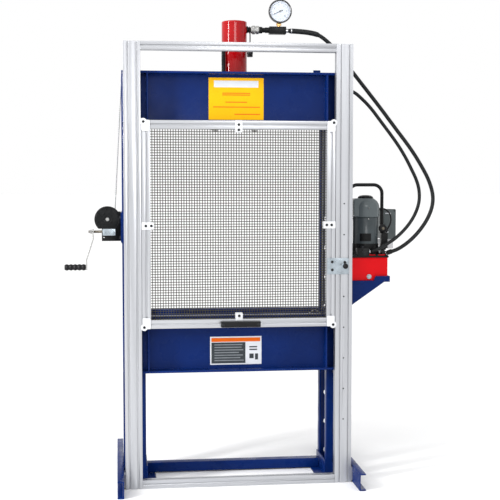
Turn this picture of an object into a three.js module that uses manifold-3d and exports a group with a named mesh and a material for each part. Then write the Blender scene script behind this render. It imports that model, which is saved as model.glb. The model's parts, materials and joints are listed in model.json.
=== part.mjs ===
// Hydraulic shop press: welded H-frame with an adjustable bed, a double-acting cylinder in the head,
// a wire-mesh guard door in an aluminium frame, a hand winch for the bed and an electric pump on a shelf.
// Millimetres. X to the right, Y to the back, Z up. The origin is on the floor, midway between the feet.
import * as THREE from "three";
import { mergeVertices } from "three/addons/utils/BufferGeometryUtils.js";
import Module from "manifold-3d";

const wasm = await Module();
wasm.setup();

// ---------------------------------------------------------------- driving dimensions
const GAP = 0.3; // clearance between parts that touch
const FRONT_FACE = -147; // outer face of the front uprights' webs
const REAR_FACE = 69; // outer face of the rear uprights' webs
const AXIS_Y = (FRONT_FACE + REAR_FACE) / 2; // press axis, front to back
const THROAT_HALF = 416; // half the clear width between the uprights
const UPRIGHT_WIDTH = 101.6;
const UPRIGHT_FLANGE = 41;
const UPRIGHT_TOP = 1850;
const UPRIGHT_X = THROAT_HALF + UPRIGHT_WIDTH / 2;
const FRAME_HALF = THROAT_HALF + UPRIGHT_WIDTH; // half the width over the uprights
const HOLE_PITCH = 139.7;
const FIRST_HOLE_Z = 75.8;
const HOLE_COUNT = 9;
const HOLE_X = 460.5;
const PIN_HOLE = 3; // the bed stands on the pins in the fourth pair of holes
const PIN_R = 16.2;
const PIN_Z = FIRST_HOLE_Z + PIN_HOLE * HOLE_PITCH;

const BED_HEIGHT = 254;
const BEAM_FLANGE = 66;
const BEAM_WEB = 6.1;
const BEAM_FLANGE_THICK = 10;
const BOLSTER_HEIGHT = 228.6;
const BOLSTER_BOTTOM = 1857 - BOLSTER_HEIGHT;
const BED_BOTTOM = PIN_Z + PIN_R + GAP;
const BED_TOP = BED_BOTTOM + BED_HEIGHT;

const FOOT_HALF_LENGTH = 406;
const FOOT_HEIGHT = 76.2;
const FOOT_FLANGE = 29;

const PROFILE = 38.1; // slotted aluminium bar
const POST_WIDTH = 2 * PROFILE;
const GUARD_HALF = 511;
const GUARD_HEIGHT = 1981;
const GUARD_REAR = -218.9;
const GUARD_FRONT = GUARD_REAR - PROFILE;
const GUARD_MID = (GUARD_FRONT + GUARD_REAR) / 2;
const POST_INNER = GUARD_HALF - POST_WIDTH;
const INDEX_X = GUARD_HALF - PROFILE;
const INDEX_FIRST_Z = 292.5;
const INDEX_COUNT = 8;
const LATCH_Z = INDEX_FIRST_Z + 5 * HOLE_PITCH; // index hole that holds the door

const DOOR_HALF = 432;
const DOOR_BOTTOM = 718;
const DOOR_TOP = 1638;

const CYLINDER_R = 58;
const CYLINDER_TOP = 2100;
const CYLINDER_PLATE_Z = 1613;
const CYLINDER_PLATE_THICK = 25;
const RAM_R = 30;
const PORT_Z = 2066;
const HOSE_ADVANCE_R = 9;
const HOSE_RETRACT_R = 8;

const ROPE_R = 2.5;
// The two ropes hang either side of the press axis, so their line passes over the middle of the bed.
const ROPE_Y = { left: AXIS_Y - 62, right: AXIS_Y + 62 };
const SHEAVE_LEFT = { x: -463, z: 1822, pitchR: 54 };
const SHEAVE_RIGHT = { x: 398.4, z: SHEAVE_LEFT.z + SHEAVE_LEFT.pitchR - 30, pitchR: 30 };
const EYE_TOP_Z = BED_TOP + 3; // top of the eyes that the lift ropes end in

const WINCH_X = -583; // drum axis
const WINCH_Z = 1200;
const WORM_Y = -121;
const WORM_Z = 1144;
const CRANK_REACH = 160;
const GRIP_END_X = -776;

const MOTOR_X = 619;
const MOTOR_Y = -42;
const MOTOR_R = 61;
const SHELF_Z = 912;
const TANK_TOP = 1018;
const TANK = { x0: 524, x1: 705, y0: -140, y1: 60 };
const COVER_TOP = TANK_TOP + GAP + 8;

// ---------------------------------------------------------------- materials
const paint = (color, metalness, roughness) =>
  new THREE.MeshStandardMaterial({ color, metalness, roughness });
const BLUE = paint(0x1b3a78, 0.1, 0.42);
const ALUMINIUM = paint(0xc9ccd0, 0.9, 0.36);
const ZINC = paint(0xaab7c2, 0.8, 0.45);
const CHROME = paint(0xd7dade, 1.0, 0.15);
const RED = paint(0xd2141c, 0.05, 0.2);
const TANK_RED = paint(0xe81c26, 0.05, 0.4);
const BLACK = paint(0x17191b, 0.1, 0.5);
const MOTOR_GREY = paint(0x454d4f, 0.2, 0.4);
const RUBBER = paint(0x33383b, 0.0, 0.55);
const STEEL = paint(0x9a9c9d, 0.85, 0.4);
const WIRE = paint(0x8d8f90, 0.8, 0.45);
const BOX_GREY = paint(0x4c5654, 0.1, 0.5);

// ---------------------------------------------------------------- solids
const X = new THREE.Vector3(1, 0, 0);
const Y = new THREE.Vector3(0, 1, 0);
const Z = new THREE.Vector3(0, 0, 1);
const v3 = (p) => new THREE.Vector3(...p);

// A closed three.js geometry as a manifold solid with its faces pointing out.
function solid(geometry) {
  const g = geometry.index ? geometry.toNonIndexed() : geometry;
  g.deleteAttribute("normal");
  g.deleteAttribute("uv");
  const merged = mergeVertices(g, 1e-3);
  const vertProperties = merged.attributes.position.array;
  const make = (index) =>
    new wasm.Manifold(new wasm.Mesh({ numProp: 3, vertProperties, triVerts: new Uint32Array(index) }));
  const made = make(merged.index.array);
  return made.volume() < 0 ? make(Array.from(merged.index.array).reverse()) : made;
}

const union = (solids) => solids.reduce((sum, next) => sum.add(next));
const cut = (body, tools) => tools.reduce((left, tool) => left.subtract(tool), body);

function box(x0, x1, y0, y1, z0, z1) {
  const g = new THREE.BoxGeometry(Math.abs(x1 - x0), Math.abs(y1 - y0), z1 - z0);
  return solid(g.translate((x0 + x1) / 2, (y0 + y1) / 2, (z0 + z1) / 2));
}

const outline = (points) => new THREE.Shape(points.map(([a, b]) => new THREE.Vector2(a, b)));

const extruded = (shape, depth, curveSegments = 10) =>
  new THREE.ExtrudeGeometry(shape, { depth, bevelEnabled: false, curveSegments });
// Outline in X and Y, drawn out along Z.
const alongZ = (shape, z0, z1) => solid(extruded(shape, z1 - z0).translate(0, 0, z0));
// Outline in X and Z, drawn out along Y.
const alongY = (shape, y0, y1) =>
  solid(extruded(shape, y1 - y0).rotateX(Math.PI / 2).translate(0, y1, 0));
// Outline in Y and Z, drawn out along X.
const alongX = (shape, x0, x1) =>
  solid(
    extruded(shape, x1 - x0)
      .applyMatrix4(new THREE.Matrix4().makeBasis(Y, Z, X))
      .translate(x0, 0, 0),
  );

// A turned piece: profile is [position along the axis, radius] pairs, closed on the axis at both ends.
function turned(axis, centre, profile, segments = 28) {
  const points = profile.map(([a, r]) => new THREE.Vector2(r, a));
  const g = new THREE.LatheGeometry(points, segments);
  g.applyQuaternion(new THREE.Quaternion().setFromUnitVectors(Y, axis));
  return solid(g.translate(...centre));
}
const disc = (axis, centre, a0, a1, r, segments = 28) =>
  turned(axis, centre, [[a0, 0], [a0, r], [a1, r], [a1, 0]], segments);

// A straight round bar from one point to another.
function rod(from, to, r, segments = 8) {
  const [a, b] = [v3(from), v3(to)];
  const axis = b.clone().sub(a);
  return disc(axis.clone().normalize(), from, 0, axis.length(), r, segments);
}

// A round tube drawn along a smooth curve or path.
function tube(path, r, steps, sides = 10) {
  const section = new THREE.Shape().absarc(0, 0, r, 0, 2 * Math.PI, false);
  section.curves.length = 0;
  const ring = [];
  for (let i = 0; i < sides; i++) {
    const a = (2 * Math.PI * i) / sides;
    ring.push(new THREE.Vector2(r * Math.cos(a), r * Math.sin(a)));
  }
  section.setFromPoints(ring);
  return solid(new THREE.ExtrudeGeometry(section, { steps, bevelEnabled: false, extrudePath: path }));
}
const smooth = (points) => new THREE.CatmullRomCurve3(points.map(v3), false, "centripetal");

// ---------------------------------------------------------------- scene graph
const press = new THREE.Group();
press.name = "shop_press";

function add(name, body, material) {
  const mesh = body.getMesh();
  const geometry = new THREE.BufferGeometry();
  const positions = new Float32Array(mesh.numVert * 3);
  for (let i = 0; i < mesh.numVert; i++) {
    positions.set(mesh.vertProperties.subarray(i * mesh.numProp, i * mesh.numProp + 3), i * 3);
  }
  geometry.setAttribute("position", new THREE.BufferAttribute(positions, 3));
  geometry.setIndex(new THREE.BufferAttribute(new Uint32Array(mesh.triVerts), 1));
  geometry.computeVertexNormals();
  const made = new THREE.Mesh(geometry, material);
  made.name = name;
  press.add(made);
}

const SIDES = [["left", -1], ["right", 1]];

// Rolled channel as [across, up] points: the web stands at `web`, and the flanges reach towards `dir`.
function channel(web, dir, flange, low, high, webThick, flangeThick) {
  const inner = web + dir * webThick;
  const tip = web + dir * flange;
  return [
    [web, low], [tip, low], [tip, low + flangeThick], [inner, low + flangeThick],
    [inner, high - flangeThick], [tip, high - flangeThick], [tip, high], [web, high],
  ];
}

// ---------------------------------------------------------------- welded frame
function upright(sideSign, face, inward) {
  const centre = sideSign * UPRIGHT_X;
  const half = UPRIGHT_WIDTH / 2;
  const section = channel(face, inward, UPRIGHT_FLANGE, centre - half, centre + half, 5, 7.5);
  const body = alongZ(outline(section.map(([a, b]) => [b, a])), 0, UPRIGHT_TOP);
  const holes = sideSign < 0 ? [disc(Y, [SHEAVE_LEFT.x, face, SHEAVE_LEFT.z], -12, 12, 9 + GAP, 20)] : [];
  for (let i = 0; i < HOLE_COUNT; i++) {
    holes.push(disc(Y, [sideSign * HOLE_X, face, FIRST_HOLE_Z + i * HOLE_PITCH], -12, 12, PIN_R + GAP, 20));
  }
  return cut(body, holes);
}
for (const [side, s] of SIDES) {
  add(`upright_front_${side}`, upright(s, FRONT_FACE, 1), BLUE);
  add(`upright_rear_${side}`, upright(s, REAR_FACE, -1), BLUE);
}

for (const [side, s] of SIDES) {
  const web = s * (FRAME_HALF + GAP);
  const section = channel(web, s, FOOT_FLANGE, 0, FOOT_HEIGHT, 5, 6);
  add(`foot_${side}`, alongY(outline(section), -FOOT_HALF_LENGTH, FOOT_HALF_LENGTH), BLUE);
  const wall = s * (THROAT_HALF - GAP);
  const angle = [
    [wall, 0], [wall, FOOT_HEIGHT], [wall - 6 * s, FOOT_HEIGHT], [wall - 6 * s, 6],
    [wall - 46 * s, 6], [wall - 46 * s, 0],
  ];
  add(`base_angle_${side}`, alongY(outline(angle), FRONT_FACE, REAR_FACE), BLUE);
}

const TIE = { y0: 3, y1: 51, z0: 6 + GAP, z1: 50, wall: 4, half: THROAT_HALF - GAP - 6 - GAP };
add(
  "base_cross_member",
  cut(box(-TIE.half, TIE.half, TIE.y0, TIE.y1, TIE.z0, TIE.z1), [
    box(-TIE.half - 5, TIE.half + 5, TIE.y0 + TIE.wall, TIE.y1 - TIE.wall, TIE.z0 + TIE.wall, TIE.z1 - TIE.wall),
  ]),
  BLUE,
);

// A beam lies flat against the uprights with its flanges turned outwards and stiffeners welded across it.
function beam(face, dir, bottom, height) {
  const top = bottom + height;
  const section = channel(face, dir, BEAM_FLANGE, bottom, top, BEAM_WEB, BEAM_FLANGE_THICK);
  const tip = face + dir * (BEAM_FLANGE - 3);
  const plates = [-510, -404, 404, 510].map((x) => box(x - 4, x + 4, face, tip, bottom + 2, top - 2));
  return union([alongX(outline(section), -FRAME_HALF, FRAME_HALF), ...plates]);
}
add("bolster_front", beam(FRONT_FACE - GAP, -1, BOLSTER_BOTTOM, BOLSTER_HEIGHT), BLUE);

// The rear beam carries the bracket of the right-hand sheave.
const BRACKET_HALF = 17;
const sheaveBracket = [
  box(SHEAVE_RIGHT.x - BRACKET_HALF, SHEAVE_RIGHT.x + BRACKET_HALF, 29, 34, 1824, 1892),
  box(SHEAVE_RIGHT.x - BRACKET_HALF, SHEAVE_RIGHT.x - BRACKET_HALF + 6, 33, REAR_FACE + 3, 1824, 1850),
];
add(
  "bolster_rear",
  cut(union([beam(REAR_FACE + GAP, 1, BOLSTER_BOTTOM, BOLSTER_HEIGHT), ...sheaveBracket]), [
    disc(Y, [SHEAVE_RIGHT.x, 0, SHEAVE_RIGHT.z], 20, 40, 9 + GAP, 20),
  ]),
  BLUE,
);

// ---------------------------------------------------------------- bed and its pins
const BED_CLEARANCE = 2 * GAP;
add("bed_front", beam(FRONT_FACE - BED_CLEARANCE, -1, BED_BOTTOM, BED_HEIGHT), BLUE);
add("bed_rear", beam(REAR_FACE + BED_CLEARANCE, 1, BED_BOTTOM, BED_HEIGHT), BLUE);

const LIFT_ROPE_X = {
  left: SHEAVE_LEFT.x + SHEAVE_LEFT.pitchR,
  right: SHEAVE_RIGHT.x + SHEAVE_RIGHT.pitchR,
};
for (const [side, s] of SIDES) {
  const tubeTop = BED_TOP - 30;
  const spacer = cut(box(350 * s, 400 * s, FRONT_FACE - GAP, REAR_FACE + GAP, tubeTop - 90, tubeTop), [
    box(356 * s, 394 * s, FRONT_FACE - 9, REAR_FACE + 9, tubeTop - 84, tubeTop - 6),
  ]);
  const y = ROPE_Y[side];
  const lug = box(350 * s, 470 * s, y - 3, y + 3, tubeTop - 60, BED_TOP - 26);
  const corners = [
    [LIFT_ROPE_X[side] - 8, y, BED_TOP - 28],
    [LIFT_ROPE_X[side] + 8, y, BED_TOP - 28],
    [LIFT_ROPE_X[side], y, EYE_TOP_Z],
  ];
  const wires = corners.map((from, i) => rod(from, corners[(i + 1) % 3], 2.5));
  const knees = corners.map((c) => disc(Y, c, -2.6, 2.6, 3, 8));
  add(`bed_spacer_${side}`, union([spacer, lug, ...wires, ...knees]), BLUE);

  const front = FRONT_FACE - BEAM_FLANGE;
  const rear = REAR_FACE + BEAM_FLANGE + 8;
  const pin = turned(Y, [s * HOLE_X, 0, PIN_Z], [
    [front, 0], [front, PIN_R - 3], [front + 3, PIN_R], [rear, PIN_R],
    [rear, PIN_R + 5], [rear + 8, PIN_R + 5], [rear + 8, 0],
  ]);
  add(`bed_pin_${side}`, pin, STEEL);
}

// ---------------------------------------------------------------- slotted aluminium bars
// Section of a bar of nx by ny cells with one slot in each cell's outer face.
function slottedBar(nx, ny) {
  const half = [(nx * PROFILE) / 2, (ny * PROFILE) / 2];
  const points = [];
  const face = (count, halfAlong, place) => {
    points.push(place(-halfAlong, 0));
    for (let i = 0; i < count; i++) {
      const c = -halfAlong + PROFILE * (i + 0.5);
      for (const [along, deep] of [
        [-4.1, 0], [-4.1, 2.5], [-7.5, 2.5], [-7.5, 5], [-3, 8],
        [3, 8], [7.5, 5], [7.5, 2.5], [4.1, 2.5], [4.1, 0],
      ]) {
        points.push(place(c + along, deep));
      }
    }
  };
  face(nx, half[0], (a, d) => [a, -half[1] + d]);
  face(ny, half[1], (a, d) => [half[0] - d, a]);
  face(nx, half[0], (a, d) => [-a, half[1] - d]);
  face(ny, half[1], (a, d) => [-half[0] + d, -a]);
  return points;
}
const moved = (points, da, db) => points.map(([a, b]) => [a + da, b + db]);

function guardPost(s) {
  const section = moved(slottedBar(2, 1), s * (GUARD_HALF - PROFILE), GUARD_MID);
  const post = alongZ(outline(section), 0, GUARD_HEIGHT);
  const padFront = FRONT_FACE - GAP - BEAM_FLANGE - GAP;
  const pads = [BOLSTER_BOTTOM, BOLSTER_BOTTOM + BOLSTER_HEIGHT - 28].map((z) =>
    box(s * 445, s * 500, GUARD_REAR - 9, padFront, z, z + 28),
  );
  const foot = box(s * (GUARD_HALF - 2), s * FRAME_HALF, GUARD_FRONT + 2, GUARD_REAR - 2, 8, 68);
  return union([post, ...pads, foot]);
}
const indexHoles = [];
for (let i = 0; i < INDEX_COUNT; i++) {
  indexHoles.push(disc(Y, [INDEX_X, GUARD_FRONT, INDEX_FIRST_Z + i * HOLE_PITCH], -1, 20, 3.6, 10));
}
add("guard_post_left", guardPost(-1), ALUMINIUM);
add("guard_post_right", cut(guardPost(1), indexHoles), ALUMINIUM);

const railSection = (z) => outline(moved(slottedBar(1, 1), GUARD_MID, z + PROFILE / 2));
const RAIL_HALF = POST_INNER - GAP;
add("guard_rail_top", alongX(railSection(GUARD_HEIGHT - PROFILE), -RAIL_HALF, RAIL_HALF), ALUMINIUM);
add("guard_rail_bottom", alongX(railSection(0), -RAIL_HALF, RAIL_HALF), ALUMINIUM);

// ---------------------------------------------------------------- guard door
for (const [side, s] of SIDES) {
  const section = moved(slottedBar(1, 1), s * (DOOR_HALF - PROFILE / 2), GUARD_MID);
  const stile = alongZ(outline(section), DOOR_BOTTOM, DOOR_TOP);
  const tongue = box(
    s * (DOOR_HALF - 10), s * (POST_INNER + 5), GUARD_MID - 3.4, GUARD_MID + 3.4, DOOR_BOTTOM + 20, DOOR_TOP - 20,
  );
  add(`door_stile_${side}`, stile.add(tongue), ALUMINIUM);
}
const DOOR_RAIL_HALF = DOOR_HALF - PROFILE - GAP;
add("door_rail_top", alongX(railSection(DOOR_TOP - PROFILE), -DOOR_RAIL_HALF, DOOR_RAIL_HALF), ALUMINIUM);
add("door_rail_bottom", alongX(railSection(DOOR_BOTTOM), -DOOR_RAIL_HALF, DOOR_RAIL_HALF), ALUMINIUM);

const MESH_EDGE = 6; // the mesh sits this far inside the bars' slots
add(
  "mesh_panel",
  box(
    -DOOR_RAIL_HALF - MESH_EDGE, DOOR_RAIL_HALF + MESH_EDGE, GUARD_MID - 0.6, GUARD_MID + 0.6,
    DOOR_BOTTOM + PROFILE - MESH_EDGE, DOOR_TOP - PROFILE + MESH_EDGE,
  ),
  WIRE,
);

const PULL = { x0: -85, x1: 93, z0: 722, z1: 747, back: GUARD_FRONT - GAP, front: GUARD_FRONT - 27 };
add(
  "door_handle",
  alongZ(
    outline([
      [PULL.x0, PULL.back], [PULL.x0, PULL.front + 5], [PULL.x0 + 5, PULL.front], [PULL.x1 - 5, PULL.front],
      [PULL.x1, PULL.front + 5], [PULL.x1, PULL.back], [PULL.x1 - 20, PULL.back],
      [PULL.x1 - 26, PULL.front + 9], [PULL.x0 + 26, PULL.front + 9], [PULL.x0 + 20, PULL.back],
    ]),
    PULL.z0,
    PULL.z1,
  ),
  BLACK,
);

const LATCH = { x0: 396.2, x1: 494.7, z0: 952.5, z1: 1025.5, back: GUARD_FRONT - 0.4, thick: 5 };
const BARREL_FRONT = LATCH.back - LATCH.thick - 16;
const barrel = disc(Y, [INDEX_X, 0, LATCH_Z], BARREL_FRONT, LATCH.back - 1, 9);
const latchPlate = box(LATCH.x0, LATCH.x1, LATCH.back - LATCH.thick, LATCH.back, LATCH.z0, LATCH.z1);
const plungerBore = disc(Y, [INDEX_X, 0, LATCH_Z], BARREL_FRONT - 5, LATCH.back + 5, 3.3, 16);
add("latch_plate", cut(latchPlate.add(barrel), [plungerBore]), ZINC);

const KNOB_R = 12;
const knobStart = BARREL_FRONT - GAP;
const knobProfile = [[knobStart - 2 * KNOB_R - 2, 0]];
for (let i = 1; i <= 8; i++) {
  const a = (Math.PI * i) / 9;
  knobProfile.push([knobStart - KNOB_R - 2 - KNOB_R * Math.cos(a), KNOB_R * Math.sin(a)]);
}
knobProfile.push([knobStart, 5], [knobStart, 3], [LATCH.back, 3], [LATCH.back, 0]);
add("index_plunger", turned(Y, [INDEX_X, 0, LATCH_Z], knobProfile, 16), BLACK);

// ---------------------------------------------------------------- cylinder in the head
const PLATE_TOP = CYLINDER_PLATE_Z + CYLINDER_PLATE_THICK;
add(
  "cylinder_plate",
  cut(box(-150, 150, FRONT_FACE + GAP, REAR_FACE - GAP, CYLINDER_PLATE_Z, PLATE_TOP), [
    disc(Z, [0, AXIS_Y, 0], CYLINDER_PLATE_Z - 5, PLATE_TOP + 5, RAM_R + 1),
  ]),
  BLUE,
);

const BORE_R = 45;
const GLAND_TOP = 1690;
const BORE_TOP = 2060;
const barrelLow = PLATE_TOP + GAP;
const cylinderProfile = [
  [BORE_TOP, 0], [BORE_TOP, BORE_R], [GLAND_TOP, BORE_R], [GLAND_TOP, RAM_R + 0.5], [barrelLow, RAM_R + 0.5],
  [barrelLow, CYLINDER_R], [CYLINDER_TOP - 3, CYLINDER_R], [CYLINDER_TOP, CYLINDER_R - 3],
  [CYLINDER_TOP + 4, CYLINDER_R / 2], [CYLINDER_TOP + 6, 0],
];
const flange = cut(box(-115, 115, AXIS_Y - 70, AXIS_Y + 70, barrelLow, barrelLow + 20), [
  disc(Z, [0, AXIS_Y, 0], barrelLow - 5, barrelLow + 25, RAM_R + 5),
]);
const RETRACT_PORT = { x: -55, y: -86, z: 1985 }; // where the retract elbow turns down beside the barrel
const portDir = v3([RETRACT_PORT.x, RETRACT_PORT.y - AXIS_Y, 0]).normalize();
const retractPort = union([
  rod(
    [portDir.x * 50, AXIS_Y + portDir.y * 50, RETRACT_PORT.z],
    [RETRACT_PORT.x, RETRACT_PORT.y, RETRACT_PORT.z], 9, 12,
  ),
  disc(Z, [RETRACT_PORT.x, RETRACT_PORT.y, 0], RETRACT_PORT.z - 17, RETRACT_PORT.z + 9, 9, 12),
]);
const advancePort = disc(X, [0, AXIS_Y, PORT_Z], 50, CYLINDER_R + 6, 16, 20);
add(
  "cylinder_body",
  union([turned(Z, [0, AXIS_Y, 0], cylinderProfile, 40), flange, retractPort, advancePort]),
  RED,
);

add(
  "ram",
  turned(Z, [0, AXIS_Y, 0], [
    [CYLINDER_PLATE_Z, 0], [CYLINDER_PLATE_Z, RAM_R - 3], [CYLINDER_PLATE_Z + 3, RAM_R],
    [1990, RAM_R], [1990, BORE_R - 0.5], [2030, BORE_R - 0.5], [2030, 0],
  ]),
  CHROME,
);

const COUPLER_START = CYLINDER_R + 6 + GAP;
const BLOCK = { x0: 161, x1: 239, half: 17, z0: 2047, z1: 2081 };
add(
  "coupler",
  turned(X, [0, AXIS_Y, PORT_Z - 1], [
    [COUPLER_START, 0], [COUPLER_START, 12], [76, 12], [76, 17], [83, 17], [83, 20], [96, 20], [96, 16],
    [100, 16], [100, 19], [113, 19], [113, 15], [130, 15], [130, 11], [BLOCK.x0 - GAP, 11], [BLOCK.x0 - GAP, 0],
  ], 20),
  ZINC,
);
const NIPPLE_END = 248;
add(
  "gauge_block",
  union([
    box(BLOCK.x0, BLOCK.x1, AXIS_Y - BLOCK.half, AXIS_Y + BLOCK.half, BLOCK.z0, BLOCK.z1),
    disc(X, [0, AXIS_Y, PORT_Z - 2], BLOCK.x1 - 2, NIPPLE_END, 9, 16),
  ]),
  BLACK,
);

// The gauge leans a little to the right on its stem.
const GAUGE = { x: 206, z: 2150, r: 54, stem: 69, back: -27, front: -61, lean: 0.07 };
const lean = (body) => {
  const foot = new THREE.Vector3(GAUGE.x, AXIS_Y, GAUGE.z - GAUGE.stem);
  const turn = new THREE.Matrix4()
    .makeTranslation(foot)
    .multiply(new THREE.Matrix4().makeRotationY(GAUGE.lean))
    .multiply(new THREE.Matrix4().makeTranslation(foot.clone().negate()));
  return body.transform(turn.elements);
};
const gaugeAt = [GAUGE.x, 0, GAUGE.z];
const gaugeCase = union([
  turned(Y, gaugeAt, [
    [GAUGE.back, 0], [GAUGE.back, GAUGE.r - 6], [GAUGE.back - 6, GAUGE.r - 2], [GAUGE.front + 8, GAUGE.r - 2],
    [GAUGE.front + 7, GAUGE.r], [GAUGE.front + 1, GAUGE.r], [GAUGE.front, GAUGE.r - 2], [GAUGE.front, 47],
    [GAUGE.front + 6, 46], [GAUGE.front + 6, 0],
  ], 32),
  disc(Z, [GAUGE.x, AXIS_Y, 0], GAUGE.z - GAUGE.r - 8, GAUGE.z - GAUGE.r + 4, 11, 6),
  disc(Z, [GAUGE.x, AXIS_Y, 0], GAUGE.z - GAUGE.stem + 1.5, GAUGE.z - GAUGE.r, 7, 12),
]);
add("gauge_case", lean(gaugeCase), CHROME);

const POINTER_ANGLE = (208 * Math.PI) / 180;
const pointerShape = [[38, 0], [6, 1.6], [-14, 2.6], [-14, -2.6], [6, -1.6]].map(([a, b]) => [
  GAUGE.x + a * Math.cos(POINTER_ANGLE) - b * Math.sin(POINTER_ANGLE),
  GAUGE.z + a * Math.sin(POINTER_ANGLE) + b * Math.cos(POINTER_ANGLE),
]);
add(
  "gauge_needle",
  lean(
    union([
      alongY(outline(pointerShape), GAUGE.front + 3, GAUGE.front + 4),
      disc(Y, gaugeAt, GAUGE.front + 2, GAUGE.front + 6 - GAP, 4, 12),
    ]),
  ),
  BLACK,
);

const CAP = { x: 67.5, y: -82, z0: 1937, z1: 1966, r: 13.5 };
const loopX = 70;
const strap = smooth([
  [loopX, AXIS_Y - 14.8, PORT_Z], [loopX + 1, AXIS_Y - 16, PORT_Z - 20], [loopX, -66, PORT_Z - 50],
  [CAP.x + 1, CAP.y + 4, PORT_Z - 80], [CAP.x, CAP.y, CAP.z1 - 2],
]);
const loop = cut(disc(X, [0, AXIS_Y, PORT_Z - 1], loopX - 2, loopX + 2, 15, 20), [
  disc(X, [0, AXIS_Y, PORT_Z - 1], loopX - 5, loopX + 5, 12 + GAP, 20),
]);
add(
  "dust_cap",
  union([disc(Z, [CAP.x, CAP.y, 0], CAP.z0, CAP.z1, CAP.r, 18), tube(strap, 1.8, 14, 8), loop]),
  BLACK,
);

// ---------------------------------------------------------------- hoses
add(
  "hose_advance",
  tube(
    smooth([
      [NIPPLE_END + 1, -39, 2064], [304, -41, 2061], [350, -44, 2056], [392, -46, 2045], [439, -48, 2011],
      [481, -50, 1965], [519, -53, 1917], [556, -55, 1871], [609, -57, 1805], [683, -60, 1712],
      [757, -62, 1616], [829, -64, 1522], [878, -67, 1446], [916, -69, 1374], [935, -71, 1308],
      [933, -74, 1258], [912, -76, 1200], [870, -78, 1138], [818, -80, 1087], [765, -83, 1053],
      [714.5, -85, 1036],
    ]),
    HOSE_ADVANCE_R,
    48,
  ),
  RUBBER,
);
add(
  "hose_retract",
  tube(
    smooth([
      [RETRACT_PORT.x, RETRACT_PORT.y, RETRACT_PORT.z - 17 - GAP], [-55, -88, 1900], [-52, -95, 1830],
      [-30, -110, 1768], [20, -121, 1724], [90, -118, 1706], [170, -104, 1708], [260, -86, 1728],
      [350, -76, 1757], [440, -72, 1785], [505, -66, 1795], [557, -60, 1783], [597, -62, 1751],
      [634, -65, 1713], [684, -68, 1649], [762, -72, 1545], [799, -77, 1485], [827, -82, 1430],
      [851, -87, 1377], [863, -91, 1330], [862, -96, 1274], [841, -101, 1215], [802, -106, 1158],
      [747, -111, 1106], [698, -116, 1075], [663, -120, 1056], [631, -122, 1044],
    ]),
    HOSE_RETRACT_R,
    64,
  ),
  RUBBER,
);

// ---------------------------------------------------------------- winch
const PLATE_X = -(FRAME_HALF + GAP);
const WINCH_BACK = PLATE_X - 5.7;
add(
  "winch_plate",
  alongY(
    outline([[PLATE_X, 1090], [WINCH_BACK, 1098], [WINCH_BACK, 1227], [PLATE_X, 1235]]),
    FRONT_FACE,
    REAR_FACE,
  ),
  BLUE,
);

const WINCH_SIDE = { front: -108, rear: -8, thick: 4 };
const cheek = [
  [WINCH_BACK - GAP, 1101], [-609, 1101], [-609, 1150], [-604, 1200], [-590, 1232], [WINCH_BACK - GAP, 1232],
];
const cheekHoles = [[WINCH_X, WINCH_Z, 8.4], [-600.3, 1114.8, 4.5]];
add(
  "winch_frame",
  cut(
    union([
      alongY(outline(cheek), WINCH_SIDE.front, WINCH_SIDE.front + WINCH_SIDE.thick),
      alongY(outline(cheek), WINCH_SIDE.rear - WINCH_SIDE.thick, WINCH_SIDE.rear),
      box(WINCH_BACK - 5, WINCH_BACK - 1, WINCH_SIDE.front + 2, WINCH_SIDE.rear - 2, 1103, 1230),
    ]),
    cheekHoles.map(([x, z, r]) => disc(Y, [x, 0, z], WINCH_SIDE.front - 5, WINCH_SIDE.rear + 5, r, 20)),
  ),
  BLACK,
);

const COVER_R = 58.5;
const COVER_FRONT = -133;
const wormWheelR = WINCH_Z - WORM_Z - 9.3 - 0.7;
const coverBottom = 1157.5;
add(
  "gear_cover",
  cut(disc(Y, [WINCH_X, 0, WINCH_Z], COVER_FRONT, WINCH_SIDE.front - GAP, COVER_R, 36), [
    disc(Y, [WINCH_X, 0, WINCH_Z], COVER_FRONT + 2, WINCH_SIDE.front + 5, COVER_R - 2, 36),
    disc(Y, [WINCH_X, 0, WINCH_Z], COVER_FRONT - 5, COVER_FRONT + 5, 9, 20),
    box(WINCH_X - 70, WINCH_X + 70, COVER_FRONT - 5, WINCH_SIDE.front + 5, WINCH_Z - 70, coverBottom),
  ]),
  BLACK,
);
const drumProfile = [
  [COVER_FRONT - 3, 0], [COVER_FRONT - 3, 8], [-127, 8], [-127, wormWheelR], [-115, wormWheelR], [-115, 8],
  [-100, 8], [-100, 48], [-97, 48], [-97, 29], [-19, 29], [-19, 48], [-16, 48], [-16, 8], [-4, 8], [-4, 0],
];
add("winch_drum", turned(Y, [WINCH_X, 0, WINCH_Z], drumProfile, 32), STEEL);

const BRACKET = { x0: -605, x1: -548, y0: -134, y1: WINCH_SIDE.front - GAP, z0: 1127, z1: 1157 };
add(
  "worm_bracket",
  cut(box(BRACKET.x0, BRACKET.x1, BRACKET.y0, BRACKET.y1, BRACKET.z0, BRACKET.z1), [
    box(BRACKET.x0 + 5, BRACKET.x1 - 5, WORM_Y - 10.5, WORM_Y + 10.5, BRACKET.z0 + 5, BRACKET.z1 + 5),
    disc(X, [0, WORM_Y, WORM_Z], BRACKET.x0 - 5, BRACKET.x0 + 8, 6.5, 16),
  ]),
  ZINC,
);

const wingNut = [
  box(-662, -653, WORM_Y - 20, WORM_Y + 20, WORM_Z - 2, WORM_Z + 2),
  disc(X, [0, WORM_Y, WORM_Z], -660, -652, 9, 12),
];
add(
  "worm_shaft",
  union([
    turned(X, [0, WORM_Y, WORM_Z], [
      [-668, 0], [-668, 6], [-599, 6], [-599, 9.3], [-555, 9.3], [-555, 0],
    ], 16),
    ...wingNut,
  ]),
  STEEL,
);

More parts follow.
